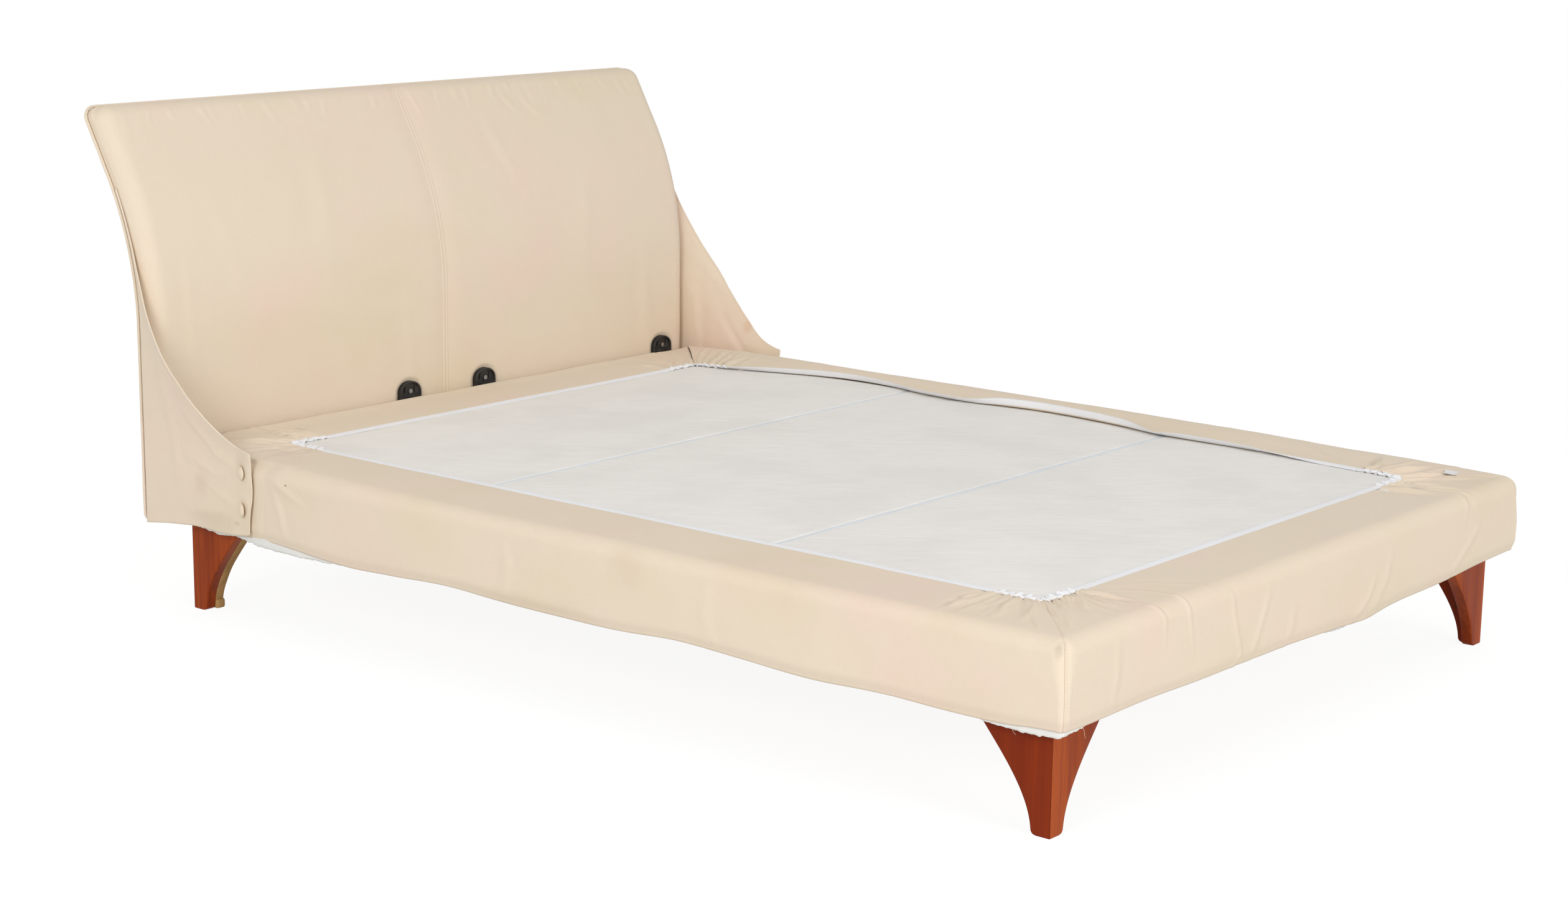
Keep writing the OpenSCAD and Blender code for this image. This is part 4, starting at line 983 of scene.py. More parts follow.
def deckPad(name, node):
    # a low crown with rounded edges: ridges of squeezed noise, turned askew, are the ticking's crinkles
    low, high = boxOf(node)
    low[:2] += deck["clear"]
    high[:2] -= deck["clear"]
    size = high - low
    rim = deck["rim"]
    bend = np.linspace(0, math.pi / 2, 6)
    edge = rim * (1 - np.cos(bend))
    drop = rim * (1 - np.sin(bend))

    def stations(length, pitch):
        inner = np.linspace(rim, length - rim, int(length / pitch))
        place = np.concatenate([[0], edge[:-1], inner, length - edge[:-1][::-1], [length]])
        sunk = np.concatenate([[size[2]], drop[:-1], inner * 0, drop[:-1][::-1], [size[2]]])
        return place, sunk

    x, sunkX = stations(size[0], deck["colPitch"])
    y, sunkY = stations(size[1], deck["rowPitch"])
    gridY, gridX = np.meshgrid(y, x, indexing="ij")
    sunk = np.maximum(sunkY[:, None], sunkX[None])
    u, v = gridX / size[0] * 2 - 1, gridY / size[1] * 2 - 1
    crown = deck["crown"] * (np.clip(1 - u ** 4, 0, 1) * np.clip(1 - v ** 4, 0, 1) - 1)
    spots = pointsOf(gridX + low[0], gridY + low[1], 0)
    cos, sin = math.cos(deckSkew), math.sin(deckSkew)
    turned = pointsOf(spots[..., 0] * cos - spots[..., 1] * sin, spots[..., 0] * sin + spots[..., 1] * cos, 0)
    patch = 0.35 + 0.65 * ease(softNoise(spots, (0.16, 0.12, 1), 41), -0.2, 0.5)
    ridges = 1 - 2 * np.abs(softNoise(turned, (0.070, 0.0175, 1), 42))
    fine = softNoise(turned, (0.040, 0.012, 1), 43)
    flat = ease(sunk, 0.0005, 0.006)
    height = deck["crinkle"] * patch * (1.1 * ridges + 0.7 * fine) + 0.0007 * softNoise(spots, 0.15, 44)
    z = high[2] - sunk + (crown + height) * (1 - flat)
    z = np.minimum(z, high[2] + 0.0012)
    # where the cover's border hides the panel it lies a little lower
    fromLeft, fromRight = spots[..., 0] - bed["left"], bed["right"] - spots[..., 0]
    fromEnd = np.minimum(spots[..., 1] - bed["foot"] - cover["borderFoot"],
                         bed["head"] - cover["borderHead"] - spots[..., 1])
    fromEdge = np.minimum(np.minimum(fromLeft - cover["borderSide"], fromEnd), fromRight - 0.10)
    z = z - deck["hiddenDip"] * (1 - ease(fromEdge, -0.035, -0.012))
    points = pointsOf(gridX + low[0], gridY + low[1], np.maximum(z, low[2]))
    piece = meshObject(name, [surfacePart(points, pointsOf(gridX, gridY))])
    closeBelow(piece, *points.shape[:2])
    finishPiece(piece, tickingCloth, "ticking", node)


def closeBelow(piece, rows, cols):
    # closes the open underside of a grid with long strips from its first row to its last
    mesh = piece.data
    points = np.empty(len(mesh.vertices) * 3)
    mesh.vertices.foreach_get("co", points)
    faces = [list(p.vertices) for p in mesh.polygons]
    coords = np.empty(len(mesh.loops) * 2, np.float32)
    mesh.uv_layers[0].data.foreach_get("uv", coords)
    last = (rows - 1) * cols
    extra = []
    for k in range(cols - 1):
        strip = [k, last + k, last + k + 1, k + 1]
        if k == 0:
            strip = [r * cols for r in range(rows)] + [last + 1, 1]
        elif k == cols - 2:
            strip = [k, last + k] + [r * cols + cols - 1 for r in range(rows - 1, -1, -1)]
        extra.append(strip)
    made = bpy.data.meshes.new(mesh.name)
    made.from_pydata(points.reshape(-1, 3).tolist(), [], faces + extra)
    layer = made.uv_layers.new(name="UVMap")
    padding = np.zeros(2 * sum(len(s) for s in extra), np.float32)
    layer.data.foreach_set("uv", np.concatenate([coords, padding]))
    made.polygons.foreach_set("use_smooth", np.ones(len(made.polygons), bool))
    made.update()
    piece.data = made
    bpy.data.meshes.remove(mesh)
    sharpen(piece, 60)


def grooveTapes():
    # two padded tapes that stand in the grooves: an upright oval section with a soft top
    low, high = boxOf("groove_tapes")
    width, top = 0.0076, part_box("deck_pad_middle")[1].z - 0.0014
    parts = []
    turn = np.linspace(0, 2 * np.pi, 18, endpoint=False)
    for y in (low[1] + 0.004, high[1] - 0.004):
        x = np.linspace(low[0] + 0.001, high[0] - 0.001, 300)
        sag = 0.0004 * softNoise(pointsOf(x, y, 0), 0.05, 51)
        middle, half = (top + low[2]) / 2, (top - low[2]) / 2
        grid = np.empty((len(x), len(turn), 3))
        grid[..., 0] = x[:, None]
        grid[..., 1] = y + width / 2 * np.sign(np.cos(turn)) * np.abs(np.cos(turn)) ** 0.7
        grid[..., 2] = middle + half * np.sign(np.sin(turn)) * np.abs(np.sin(turn)) ** 0.45
        grid[..., 2] += sag[:, None] * (grid[..., 2] > middle)
        uv = gridUv(x, np.linspace(0, 2 * width, len(turn) + 1))
        parts.append(surfacePart(grid, uv, around=True, capFirst=True, capLast=True))
    piece = meshObject("grooveTapes", parts)
    finishPiece(piece, tapeCloth, "tape", "groove_tapes")


for end in ("foot", "middle", "head"):
    deckPad("deckPad" + end.capitalize(), "deck_pad_" + end)
grooveTapes()
print("deck made")


# Foam under the cover, cut off above the hem

foam = {"lift": 0.022, "round": 0.026, "steps": 160}


def foamStrip(name, node, lengthways):
    # a rounded section carried along the strip, with a slightly uneven cut face
    low, high = boxOf(node)
    low[2] += foam["lift"]
    turn = np.linspace(0, math.pi / 2, 8)
    thick = (high - low)[1 - lengthways] - 0.0034
    tall = high[2] - low[2] - 0.0008
    r = min(foam["round"], thick * 0.95)
    outer = np.stack([thick - r + r * np.sin(turn), tall - r + r * np.cos(turn)], -1)
    section = np.concatenate([[(0.0, 0.0)], [(0.0, tall)], outer, [(thick, 0.0)]])
    run = np.linspace(low[lengthways] + 0.001, high[lengthways] - 0.001, foam["steps"])
    grid = np.empty((len(run), len(section), 3))
    grid[..., lengthways] = run[:, None]
    middle = (bed["left"] + bed["right"]) / 2 if lengthways == 1 else (bed["foot"] + bed["head"]) / 2
    outSign = np.sign((low + high)[1 - lengthways] / 2 - middle)
    base = low[1 - lengthways] if outSign > 0 else high[1 - lengthways]
    grid[..., 1 - lengthways] = base + outSign * (section[:, 0] + 0.0004)[None]
    grid[..., 2] = low[2] + 0.0004 + section[:, 1][None]
    grid[..., 2] += 0.0006 * softNoise(grid, 0.03, 61) * (section[:, 1] > tall / 2)[None]
    flip = (outSign > 0) == (lengthways == 1)
    piece = meshObject(name, [surfacePart(grid, around=True, flip=bool(flip), capFirst=True, capLast=True)])
    sharpen(piece, 40)
    finishPiece(piece, seatFoam, "foam", node)


foamStrip("sideFoamLeft", "side_foam_left", 1)
foamStrip("sideFoamRight", "side_foam_right", 1)
foamStrip("footFoam", "foot_foam", 0)
print("foam made")


# Headboard: upright at the bottom, bent over a wide curve and leaning back at the top

board = {
    "front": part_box("headboard_cover_left")[0].y,
    "bottom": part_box("headboard_cover_left")[0].z,
    "bendZ": 0.560,
    "bendRadius": 0.640,
    "lean": math.radians(30),
    "upper": 0.141,
    "thickness": 0.048,
    "pipingDepth": 0.045,
    "piping": 0.0030,
    "rim": 0.035,
    "lowRim": 0.010,
    "corner": 0.026,
    "foamCorner": 0.036,
    "foamInset": 0.0026,
    "rimEnd": 0.031,
    "heel": 0.014,
    "overhang": 0.015,
    "pitch": 0.005,
    "wall": 0.0016,
    "seamDip": 0.003,
    "topstitch": 0.0075,
    "topRise": 0.004,
}
board["low"] = board["bendZ"] - board["bottom"]
board["arc"] = board["bendRadius"] * board["lean"]
board["face"] = board["low"] + board["arc"] + board["upper"]
bracket = {"places": (-0.703, -0.113, 0.113, 0.703), "width": 0.061, "top": 0.370, "bottom": 0.205,
           "squash": 0.8, "front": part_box("bracket_plates")[0].y, "back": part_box("bracket_plates")[1].y,
           "lip": 0.004}


def leanAt(s):
    # the angle of the headboard's face at the distance s up along it
    return np.clip((s - board["low"]) / board["bendRadius"], 0, board["lean"])


def onBoard(x, s, n):
    # a point on the headboard at x, a distance s up along its face and n behind it
    a = leanAt(s)
    extra = np.maximum(s - board["low"] - board["arc"], 0)
    y = board["front"] + board["bendRadius"] * (1 - np.cos(a)) + extra * np.sin(a)
    z = np.minimum(s, board["low"]) + board["bottom"] + board["bendRadius"] * np.sin(a) + extra * np.cos(a)
    return pointsOf(x, y + n * np.cos(a), z - n * np.sin(a))


def halfWidthAt(s, half, corner=board["corner"]):
    # drawn in along a quarter circle at the top corners
    e = np.maximum(corner - (board["face"] - s), 0)
    return half - corner + np.sqrt(np.maximum(corner ** 2 - e ** 2, 0))


def rimDepth(x, s, half):
    # how far the rounded edge falls back: a quarter circle of the distance to the outline
    r = board["rim"]
    acrossIn, alongIn = np.maximum(r - half + x, 0), np.maximum(r - board["face"] + s, 0)
    e = np.minimum(np.hypot(acrossIn, alongIn), r)
    low = np.clip(board["lowRim"] - s, 0, board["lowRim"])
    depth = r - np.sqrt(np.maximum(r * r - e * e, 0))
    return depth + board["lowRim"] - np.sqrt(np.maximum(board["lowRim"] ** 2 - low ** 2, 0))


def topRise(s):
    # the piping along the top stands a little above the cushion in front of it
    return board["topRise"] * ease(s, board["face"] - 0.08, board["face"])


def frontFolds():
    # short puckers under the top piping and a few long soft folds, the same each run
    random = np.random.default_rng(8)
    folds = []
    for k in range(26):
        x = -0.76 + 1.52 * (k + random.uniform(0.1, 0.9)) / 26
        reach = random.uniform(0.02, 0.075)
        lean = random.uniform(-0.35, 0.35)
        top = board["face"] - random.uniform(0.018, 0.030)
        folds.append(([(x, top), (x + lean * reach, top - reach)], random.uniform(0.004, 0.008),
                      random.uniform(0.0006, 0.0015)))
    for x, s, dx, ds, width, height in (
            (-0.60, 0.62, 0.05, -0.20, 0.020, 0.0009), (-0.30, 0.70, -0.03, -0.24, 0.024, 0.0014),
            (0.22, 0.74, 0.05, -0.16, 0.016, 0.0016), (0.48, 0.60, -0.05, -0.22, 0.024, 0.0015),
            (0.64, 0.40, 0.02, -0.25, 0.020, 0.0016), (-0.12, 0.34, 0.03, -0.20, 0.018, 0.0012),
            (-0.70, 0.52, 0.01, -0.26, 0.012, 0.0008), (0.30, 0.80, 0.03, -0.05, 0.007, 0.0014),
            (0.36, 0.79, 0.04, -0.06, 0.008, 0.0012)):
        folds.append(([(x, s), (x + 0.4 * dx, s + 0.5 * ds), (x + dx, s + ds)], width, height))
    return folds


def pocketDepth(x, s):
    # the cushion is pressed back behind each bracket plate
    z = s + board["bottom"]
    depth = np.zeros(np.broadcast(x, s).shape)
    half = bracket["width"] / 2
    crown = bracket["top"] - half * bracket["squash"]
    for place in bracket["places"]:
        up = np.maximum(z - crown, 0) / (half * bracket["squash"])
        across = np.abs(x - place) / half
        away = (np.sqrt(up ** 2 + across ** 2) - 1) * half
        depth = np.maximum(depth, 1 - ease(away, 0.0005, 0.011))
    return (bracket["back"] - board["front"] + 0.0006) * depth


def frontRelief(x, s):
    # how far the cushion stands out: slow waves, folds, and the sewn centre with its topstitching
    spots = pointsOf(x, s, 0.4)
    relief = 0.0015 * softNoise(spots, 0.20, 71) + 0.0007 * softNoise(spots, (0.07, 0.10, 1), 72)
    relief = relief + 0.0003 * softNoise(spots, 0.03, 73) + foldsHeight(spots[..., :2], frontFolds())
    seam = np.abs(x)
    relief = relief - board["seamDip"] * hump(seam, 0.026) - 0.0010 * hump(seam, 0.0012)
    relief = relief + 0.0006 * (1 - ease(seam, board["topstitch"] - 0.001, board["topstitch"] + 0.001))
    return relief - 0.0004 * hump(seam - board["topstitch"], 0.0011)


def boardStations():
    # places across half the front and up along it, closer at the seam and round the edges
    half = bed["right"]
    bend = np.linspace(0, math.pi / 2, 11)
    fine = np.array([0, 0.0007, 0.0014, 0.0024, 0.0038, 0.0052, 0.0064, 0.0071, 0.0078, 0.0088, 0.0105,
                     0.014])
    rim, pitch, face = board["rim"], board["pitch"], board["face"]
    x = np.concatenate([fine, np.linspace(0.019, half - rim, int(half / pitch)),
                        half - rim + rim * np.sin(bend[1:])])
    low = board["lowRim"] * (1 - np.cos(bend[::2]))
    s = np.concatenate([low[:-1], np.linspace(board["lowRim"], face - rim, int(face / pitch)),
                        face - rim + rim * np.sin(bend[1:])])
    return x, s


def aroundGrid(grid):
    # the outline of a grid, once round
    return np.concatenate([grid[0, :-1], grid[:-1, -1], grid[-1, :0:-1], grid[:0:-1, 0]])


def boardFront(name, node, side):
    half = bed["right"]
    x, s = boardStations()
    gridS, share = np.meshgrid(s, x / half, indexing="ij")
    gridX = share * halfWidthAt(gridS, half)
    depth = np.minimum(rimDepth(gridX, gridS, half), board["rimEnd"])
    flat = 1 - ease(depth, 0.012, board["rim"])
    depth = depth - frontRelief(side * gridX, gridS) * flat + pocketDepth(side * gridX, gridS)
    face = onBoard(side * gridX, gridS, depth)
    uv = pointsOf(side * gridX, gridS)
    # the sides, top and underside run straight back to the piping
    outlineX, outlineS, outlineN = (np.concatenate([grid[0, :-1], grid[:, -1], grid[-1, :-1][::-1]])
                                    for grid in (gridX, gridS, depth))
    back = np.linspace(0, 1, 6)[:, None]
    wallN = outlineN + (board["pipingDepth"] - outlineN) * back
    run = np.concatenate([[0], np.cumsum(np.hypot(np.diff(outlineX), np.diff(outlineS)))])
    dent = 0.0007 * softNoise(pointsOf(run, 0, 0), 0.03, 75)
    wall = onBoard(side * (outlineX - np.maximum(dent, 0) * (back * (1 - back) * 4)),
                   outlineS + topRise(outlineS) * back, wallN)
    piece = meshObject(name, [surfacePart(face, uv, flip=side < 0),
                              surfacePart(wall, pointsOf(run, wallN), flip=side > 0)], merge=True)
    addWall(piece, board["wall"])
    finishPiece(piece, boardCotton, "cover_cloth", node)


def headboardFoam():
    # the same face a little further in, closed by a flat back
    inset = board["foamInset"]
    half = bed["right"] - inset
    x, s = boardStations()
    x = np.concatenate([-x[:0:-1], x]) * half / bed["right"]
    s = inset + s[::2] * (board["face"] - 2 * inset) / board["face"]
    gridS, gridX = np.meshgrid(s, x[::2] if len(x) % 2 else x, indexing="ij")
    gridX = gridX / half * halfWidthAt(gridS, half, board["foamCorner"])
    depth = np.minimum(rimDepth(np.abs(gridX), gridS, half), 0.026) + 0.0030
    depth = depth + pocketDepth(gridX, gridS) * 0.9 + 0.004 * hump(gridX, 0.03)
    face = onBoard(gridX, gridS, np.minimum(depth, 0.0315))
    backs = onBoard(gridX, gridS, 0.0318)
    wall = np.array([aroundGrid(face), aroundGrid(backs)])
    piece = meshObject("headboardFoam", [surfacePart(face), surfacePart(backs, flip=True),
                                         surfacePart(wall, around=True, flip=True)], merge=True)
    sharpen(piece, 50)
    finishPiece(piece, seatFoam, "foam", "headboard_foam")


def boardBack():
    # the back of the cover: a flat sheet inside the piping with slow waves and one seam down the middle
    half = bed["right"] + 0.0006
    x = np.concatenate([np.linspace(-half, -0.012, 136), np.linspace(-0.008, 0.008, 9),
                        np.linspace(0.012, half, 136)])
    heel, start = board["heel"], -board["overhang"]
    heelBend = np.linspace(0, math.pi / 2, 8)[:-1]
    s = np.concatenate([start + heel - heel * np.cos(heelBend),
                        np.linspace(start + heel, board["face"] - board["corner"], 140),
                        board["face"] - board["corner"] * (1 - np.sin(np.linspace(0, math.pi / 2, 12)[1:]))])
    gridS, gridX = np.meshgrid(s, x, indexing="ij")
    e = np.maximum(heel - (gridS - start), 0)
    drawnIn = heel - np.sqrt(np.maximum(heel ** 2 - e ** 2, 0))
    gridX = gridX / half * (halfWidthAt(gridS, half) - drawnIn)
    spots = pointsOf(gridX, gridS, 0)
    relief = 0.0010 * softNoise(spots, 0.18, 81) + 0.0005 * softNoise(spots, 0.06, 82)
    relief = relief - 0.0012 * hump(gridX, 0.0022)
    edge = np.minimum(halfWidthAt(gridS, half) - np.abs(gridX),
                      np.minimum(board["face"] - gridS, gridS - start))
    depth = board["thickness"] + 0.0022 + relief * ease(edge, 0, 0.03) - 0.0030 * (1 - ease(edge, 0, 0.014))
    points = onBoard(gridX, gridS + topRise(gridS), depth)
    piece = meshObject("boardBack", [surfacePart(points, spots[..., :2], flip=True)])
    addWall(piece, board["wall"])
    finishPiece(piece, boardCotton, "cover_cloth", "headboard_back_cover")


def boardOutline(grow, pitch):
    # the headboard's outline, grown by a little: up one side, round a corner, along the top and down again
    half, top, r = bed["right"] + grow, board["face"] + grow, board["corner"] + grow
    heel, start = board["heel"], -board["overhang"]
    heelBend = np.linspace(0, math.pi / 2, 9)[:-1]
    rise = np.linspace(start + heel, top - r, int((top - r) / pitch))
    bend = np.linspace(0, math.pi / 2, 14)[1:]
    cross = np.linspace(-half + r, half - r, int(2 * (half - r) / pitch))[1:-1]
    x = np.concatenate([heel - heel * np.sin(heelBend) - half, rise * 0 - half, -half + r - r * np.cos(bend)])
    s = np.concatenate([start + heel - heel * np.cos(heelBend), rise, top - r + r * np.sin(bend)])
    return np.concatenate([x, cross, -x[::-1]]), np.concatenate([s, cross * 0 + top, s[::-1]])


def boardPiping():
    # a covered cord round the outline, with the small puckers of bias-cut cloth
    radius = board["piping"]
    x, s = boardOutline(radius + 0.0003, 0.0035)
    s = s + topRise(s)
    path = onBoard(x, s, board["pipingDepth"])
    spots = path.copy()
    wobble = 0.0004 * softNoise(spots, 0.03, 91)
    path[:, 0] += np.where(np.abs(x) > bed["right"], np.sign(x) * np.minimum(wobble, 0.0002), 0)
    pucker = 1 + 0.07 * softNoise(spots, 0.006, 92) + 0.03 * softNoise(spots, 0.002, 93)
    tube = tubePart(path, radius * pucker, 12, np.array([0, 1.0, 0.35]))
    finishPiece(meshObject("boardPiping", [tube]), boardCotton, "cover_cloth", "headboard_piping")


boardFront("boardFrontLeft", "headboard_cover_left", -1)
boardFront("boardFrontRight", "headboard_cover_right", 1)
headboardFoam()
boardBack()
boardPiping()
print("headboard made")


# Wings: double cloth from the piping down to the side of the base, each held by two covered buttons

wing = {
    "topZ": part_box("wing_left")[1].z,
    "bottomZ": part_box("wing_left")[0].z,
    "frontY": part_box("wing_left")[0].y,
    "cornerZ": 0.356,
    "waist": (fromFoot(2.116), 0.562),
    "tipPull": (0.042, 0.090),
    "waistPull": (0.062, 0.078),
    "waistBelow": 1.36,
    "frontPull": (0.090, 0.010),
    "flare": 0.034,
    "flareZ": 0.510,
    "flareSpread": 0.150,
    "frontIn": 0.007,
    "heelBack": 0.015,
    "hem": [(0, 0.1700), (0.18, 0.1775), (0.35, 0.1830), (0.50, 0.1865), (0.73, 0.1850), (0.90, 0.1880),
            (1.0, 0.1925)],
    "wall": 0.0026,
    "middle": 0.7924,
    "rows": 190,
    "columns": 110,
    "cord": 0.0017,
    "buttonRadius": 0.014,
    "buttonIn": 0.036,
    "buttonOut": 0.0042,
    "buttonZ": (0.242, 0.315),
    "buttonTilt": (math.radians(26), math.radians(19)),
    "flareFrom": (0.30, 0.42),
    "flareBend": 1.5,
}


def faceDistance(z, n):
    # the distance up along the face at which the layer n behind it reaches the height z
    arcTop = board["bendZ"] + (board["bendRadius"] - n) * math.sin(board["lean"])
    bent = np.arcsin(np.clip((z - board["bendZ"]) / (board["bendRadius"] - n), 0, math.sin(board["lean"])))
    return np.where(z < board["bendZ"], z - board["bottom"],
                    board["low"] + board["bendRadius"] * bent
                    + np.maximum(z - arcTop, 0) / math.cos(board["lean"]))


def backEdge(z):
    # the wing's back edge lies just in front of the headboard's back
    n = board["thickness"]
    return onBoard(0.0, faceDistance(z, n), n)[..., 1] - 0.0084


def freeEdge():
    # two cubic curves, from the tip at the piping past the waist to the front corner
    tip = np.array([backEdge(np.array(wing["topZ"])) - 0.0036, wing["topZ"]])
    waist, front = np.array(wing["waist"]), np.array([wing["frontY"], wing["cornerZ"]])
    pull = np.array(wing["waistPull"])
    t = np.linspace(0, 1, 60)
    upper = bezier([tip, tip - np.array(wing["tipPull"]), waist + pull, waist], t)
    lower = bezier([waist, waist - wing["waistBelow"] * pull, front + np.array(wing["frontPull"]), front], t)
    return np.concatenate([upper, lower[1:]])


def wingSurface(z, c, side):
    # between the back edge and the free edge; the free edge stands off most a little below the waist
    edge = freeEdge()[::-1]
    straight = wing["frontY"] + wing["heelBack"] * (1 - ease(z, wing["bottomZ"] - 0.02, 0.290))
    free = np.where(z <= wing["cornerZ"], straight, np.interp(z, edge[:, 1], edge[:, 0]))
    free = free + wing["frontIn"] * (1 - ease(z, wing["cornerZ"], wing["cornerZ"] + 0.06))
    back = backEdge(np.maximum(z, wing["bottomZ"]))
    hem = through(wing["hem"], c) - wing["bottomZ"]
    z = z + hem * (1 - ease(z, wing["bottomZ"], wing["bottomZ"] + 0.06))
    y = back + (free - back) * c
    out = wing["flare"] * hump(z - wing["flareZ"], wing["flareSpread"]) * ease(z, *wing["flareFrom"])
    out = out * c ** wing["flareBend"]
    spots = pointsOf(y, z, 3 * side)
    off = 0.0016 * softNoise(spots, (0.11, 0.15, 1), 101) + 0.0008 * softNoise(spots, (0.04, 0.07, 1), 102)
    off = off + 0.0003 * softNoise(spots, 0.02, 103)
    # the hem waves, each button presses the cloth in and tips it, and the folds pull from the buttons
    slack = ease(c, 0.55, 1.0) * (1 - ease(z, 0.34, 0.40))
    off = off + 0.0024 * slack * (0.6 + 0.4 * softNoise(spots, 0.05, 104))
    fromButton = y - wing["frontY"] - wing["buttonIn"]
    for height in wing["buttonZ"]:
        away = np.hypot(fromButton, z - height)
        off = off - 0.0026 * hump(away, 0.019) + 0.0010 * hump(away - 0.024, 0.007)
        off = off - 0.0040 * fromButton / wing["buttonRadius"] * hump(away, 0.022)
    off = (off + foldsHeight(spots[..., :2], wingFolds)) * ease(c, 0.0, 0.10)
    return pointsOf(side * (wing["middle"] + out + np.maximum(off, -0.0004)), y, z)


# Folds of a wing: distance behind its front edge and height, then width and height of the fold
wingFolds = [([(wing["frontY"] + y, z) for y, z in path], width, height) for path, width, height in (
    ([(0.045, 0.318), (0.110, 0.340), (0.190, 0.420)], 0.010, 0.0022),
    ([(0.045, 0.312), (0.120, 0.300), (0.200, 0.330)], 0.010, 0.0016),
    ([(0.045, 0.244), (0.110, 0.262), (0.180, 0.300)], 0.010, 0.0018),
    ([(0.045, 0.240), (0.120, 0.225), (0.200, 0.215)], 0.009, 0.0016),
    ([(0.230, 0.260), (0.240, 0.380), (0.262, 0.500)], 0.016, 0.0020),
    ([(0.140, 0.470), (0.200, 0.500), (0.260, 0.560)], 0.010, 0.0018),
    ([(0.270, 0.600), (0.300, 0.680), (0.330, 0.760)], 0.008, 0.0014))]


def wingPiece(name, node, side):
    # the sheet, the covered cord along its free edge, and the sheet's area between its two edges
    z = np.concatenate([np.linspace(wing["bottomZ"], wing["cornerZ"], 46)[:-1],
                        np.linspace(wing["cornerZ"], wing["topZ"], wing["rows"] - 45)])
    c = np.linspace(0, 1, wing["columns"])
    gridZ, gridC = np.meshgrid(z, c, indexing="ij")
    points = wingSurface(gridZ, gridC, side)
    uv = points[..., 1:]
    piece = meshObject(name, [surfacePart(points, uv, flip=side > 0)])
    addWall(piece, wing["wall"], 0.0)
    finishPiece(piece, wingCotton, "cover_cloth", node)
    # from the tip down to the bottom of the front
    edge = freeEdge()
    z = np.concatenate([edge[:, 1], np.linspace(wing["cornerZ"], wing["bottomZ"] + 0.0015, 60)[1:]])
    path = wingSurface(z, np.ones_like(z), side)
    run = runOf(path)
    path = placesAt(np.linspace(0, run[-1], 330), run, path)
    path[:, 1] -= 0.0008
    pucker = 1 + 0.06 * softNoise(path, 0.005, 105)
    tube = tubePart(path, wing["cord"] * pucker, 10, np.array([float(side), 0.02, 0.01]))
    finishPiece(meshObject(name + "Cord", [tube]), wingCotton, "cover_cloth")


def wingButtons():
    # a low dome of covered button: a profile turned about its middle, with folds of cloth drawn under its rim
    profile = [(0.0, 0.0066), (0.0035, 0.0065), (0.0070, 0.0060), (0.0100, 0.0050), (0.0123, 0.0036),
               (0.0136, 0.0022), (0.0140, 0.0010), (0.0134, -0.0004), (0.0118, -0.0014), (0.0080, -0.0018)]
    radius, height = np.array(profile).T
    turn = np.linspace(0, 2 * np.pi, 48, endpoint=False)
    parts = []
    for side in (-1, 1):
        for k, (z, tilt) in enumerate(zip(wing["buttonZ"], wing["buttonTilt"])):
            pleat = 1 + 0.02 * np.cos(9 * turn + k) * ease(radius, 0.010, 0.0138)[:, None]
            along, out = radius[:, None] * pleat * np.cos(turn), height[:, None]
            grid = pointsOf(
                side * (wing["middle"] + wing["buttonOut"] + out * math.cos(tilt) - along * math.sin(tilt)),
                wing["frontY"] + wing["buttonIn"] + along * math.cos(tilt) + out * math.sin(tilt),
                z + radius[:, None] * pleat * np.sin(turn))
            uv = pointsOf(radius[:, None] * np.cos(turn), radius[:, None] * np.sin(turn))
            uv = np.concatenate([uv, uv[:, :1]], 1)
            parts.append(surfacePart(grid, uv, around=True, flip=side > 0, capLast=True))
    piece = meshObject("wingButtons", parts, merge=True)
    finishPiece(piece, wingCotton, "cover_cloth", "wing_buttons")


wingPiece("wingLeft", "wing_left", -1)
wingPiece("wingRight", "wing_right", 1)
wingButtons()
print("wings made")


# Bracket plates: moulded half ovals with a raised lip and a recessed face

# Small ribs on a plate's recessed face: offset from its middle, width, low and high end, and rise
bracketRibs = [(-0.014, 0.0030, 0.345, 0.360, 0.0026), (0.014, 0.0030, 0.345, 0.360, 0.0026),
               (0, 0.0100, 0.3385, 0.3425, 0.0022)]


def halfOval(place, grow, base, count=64):
    # round a half oval standing on a straight base, the same number of points for every size
    half = bracket["width"] / 2 + grow
    tall = half * bracket["squash"]
    crown = bracket["top"] + grow - tall
    foot = base - grow
    arc = np.linspace(0, math.pi, count // 2)
    x = half * np.cos(arc)
    z = crown + tall * np.sin(arc)
    down = np.linspace(0, 1, count // 8 + 1)[1:]
    left = pointsOf(-half, crown + (foot - crown) * down)
    bottom = pointsOf(-half + 2 * half * np.linspace(0, 1, count // 4 + 1)[1:-1], foot)
    right = np.concatenate([[(half, foot)], pointsOf(half, foot + (crown - foot) * down)[:-1]])
    loop = np.concatenate([pointsOf(x, z), left, bottom, right])
    return loop[:, 0] + place, loop[:, 1]


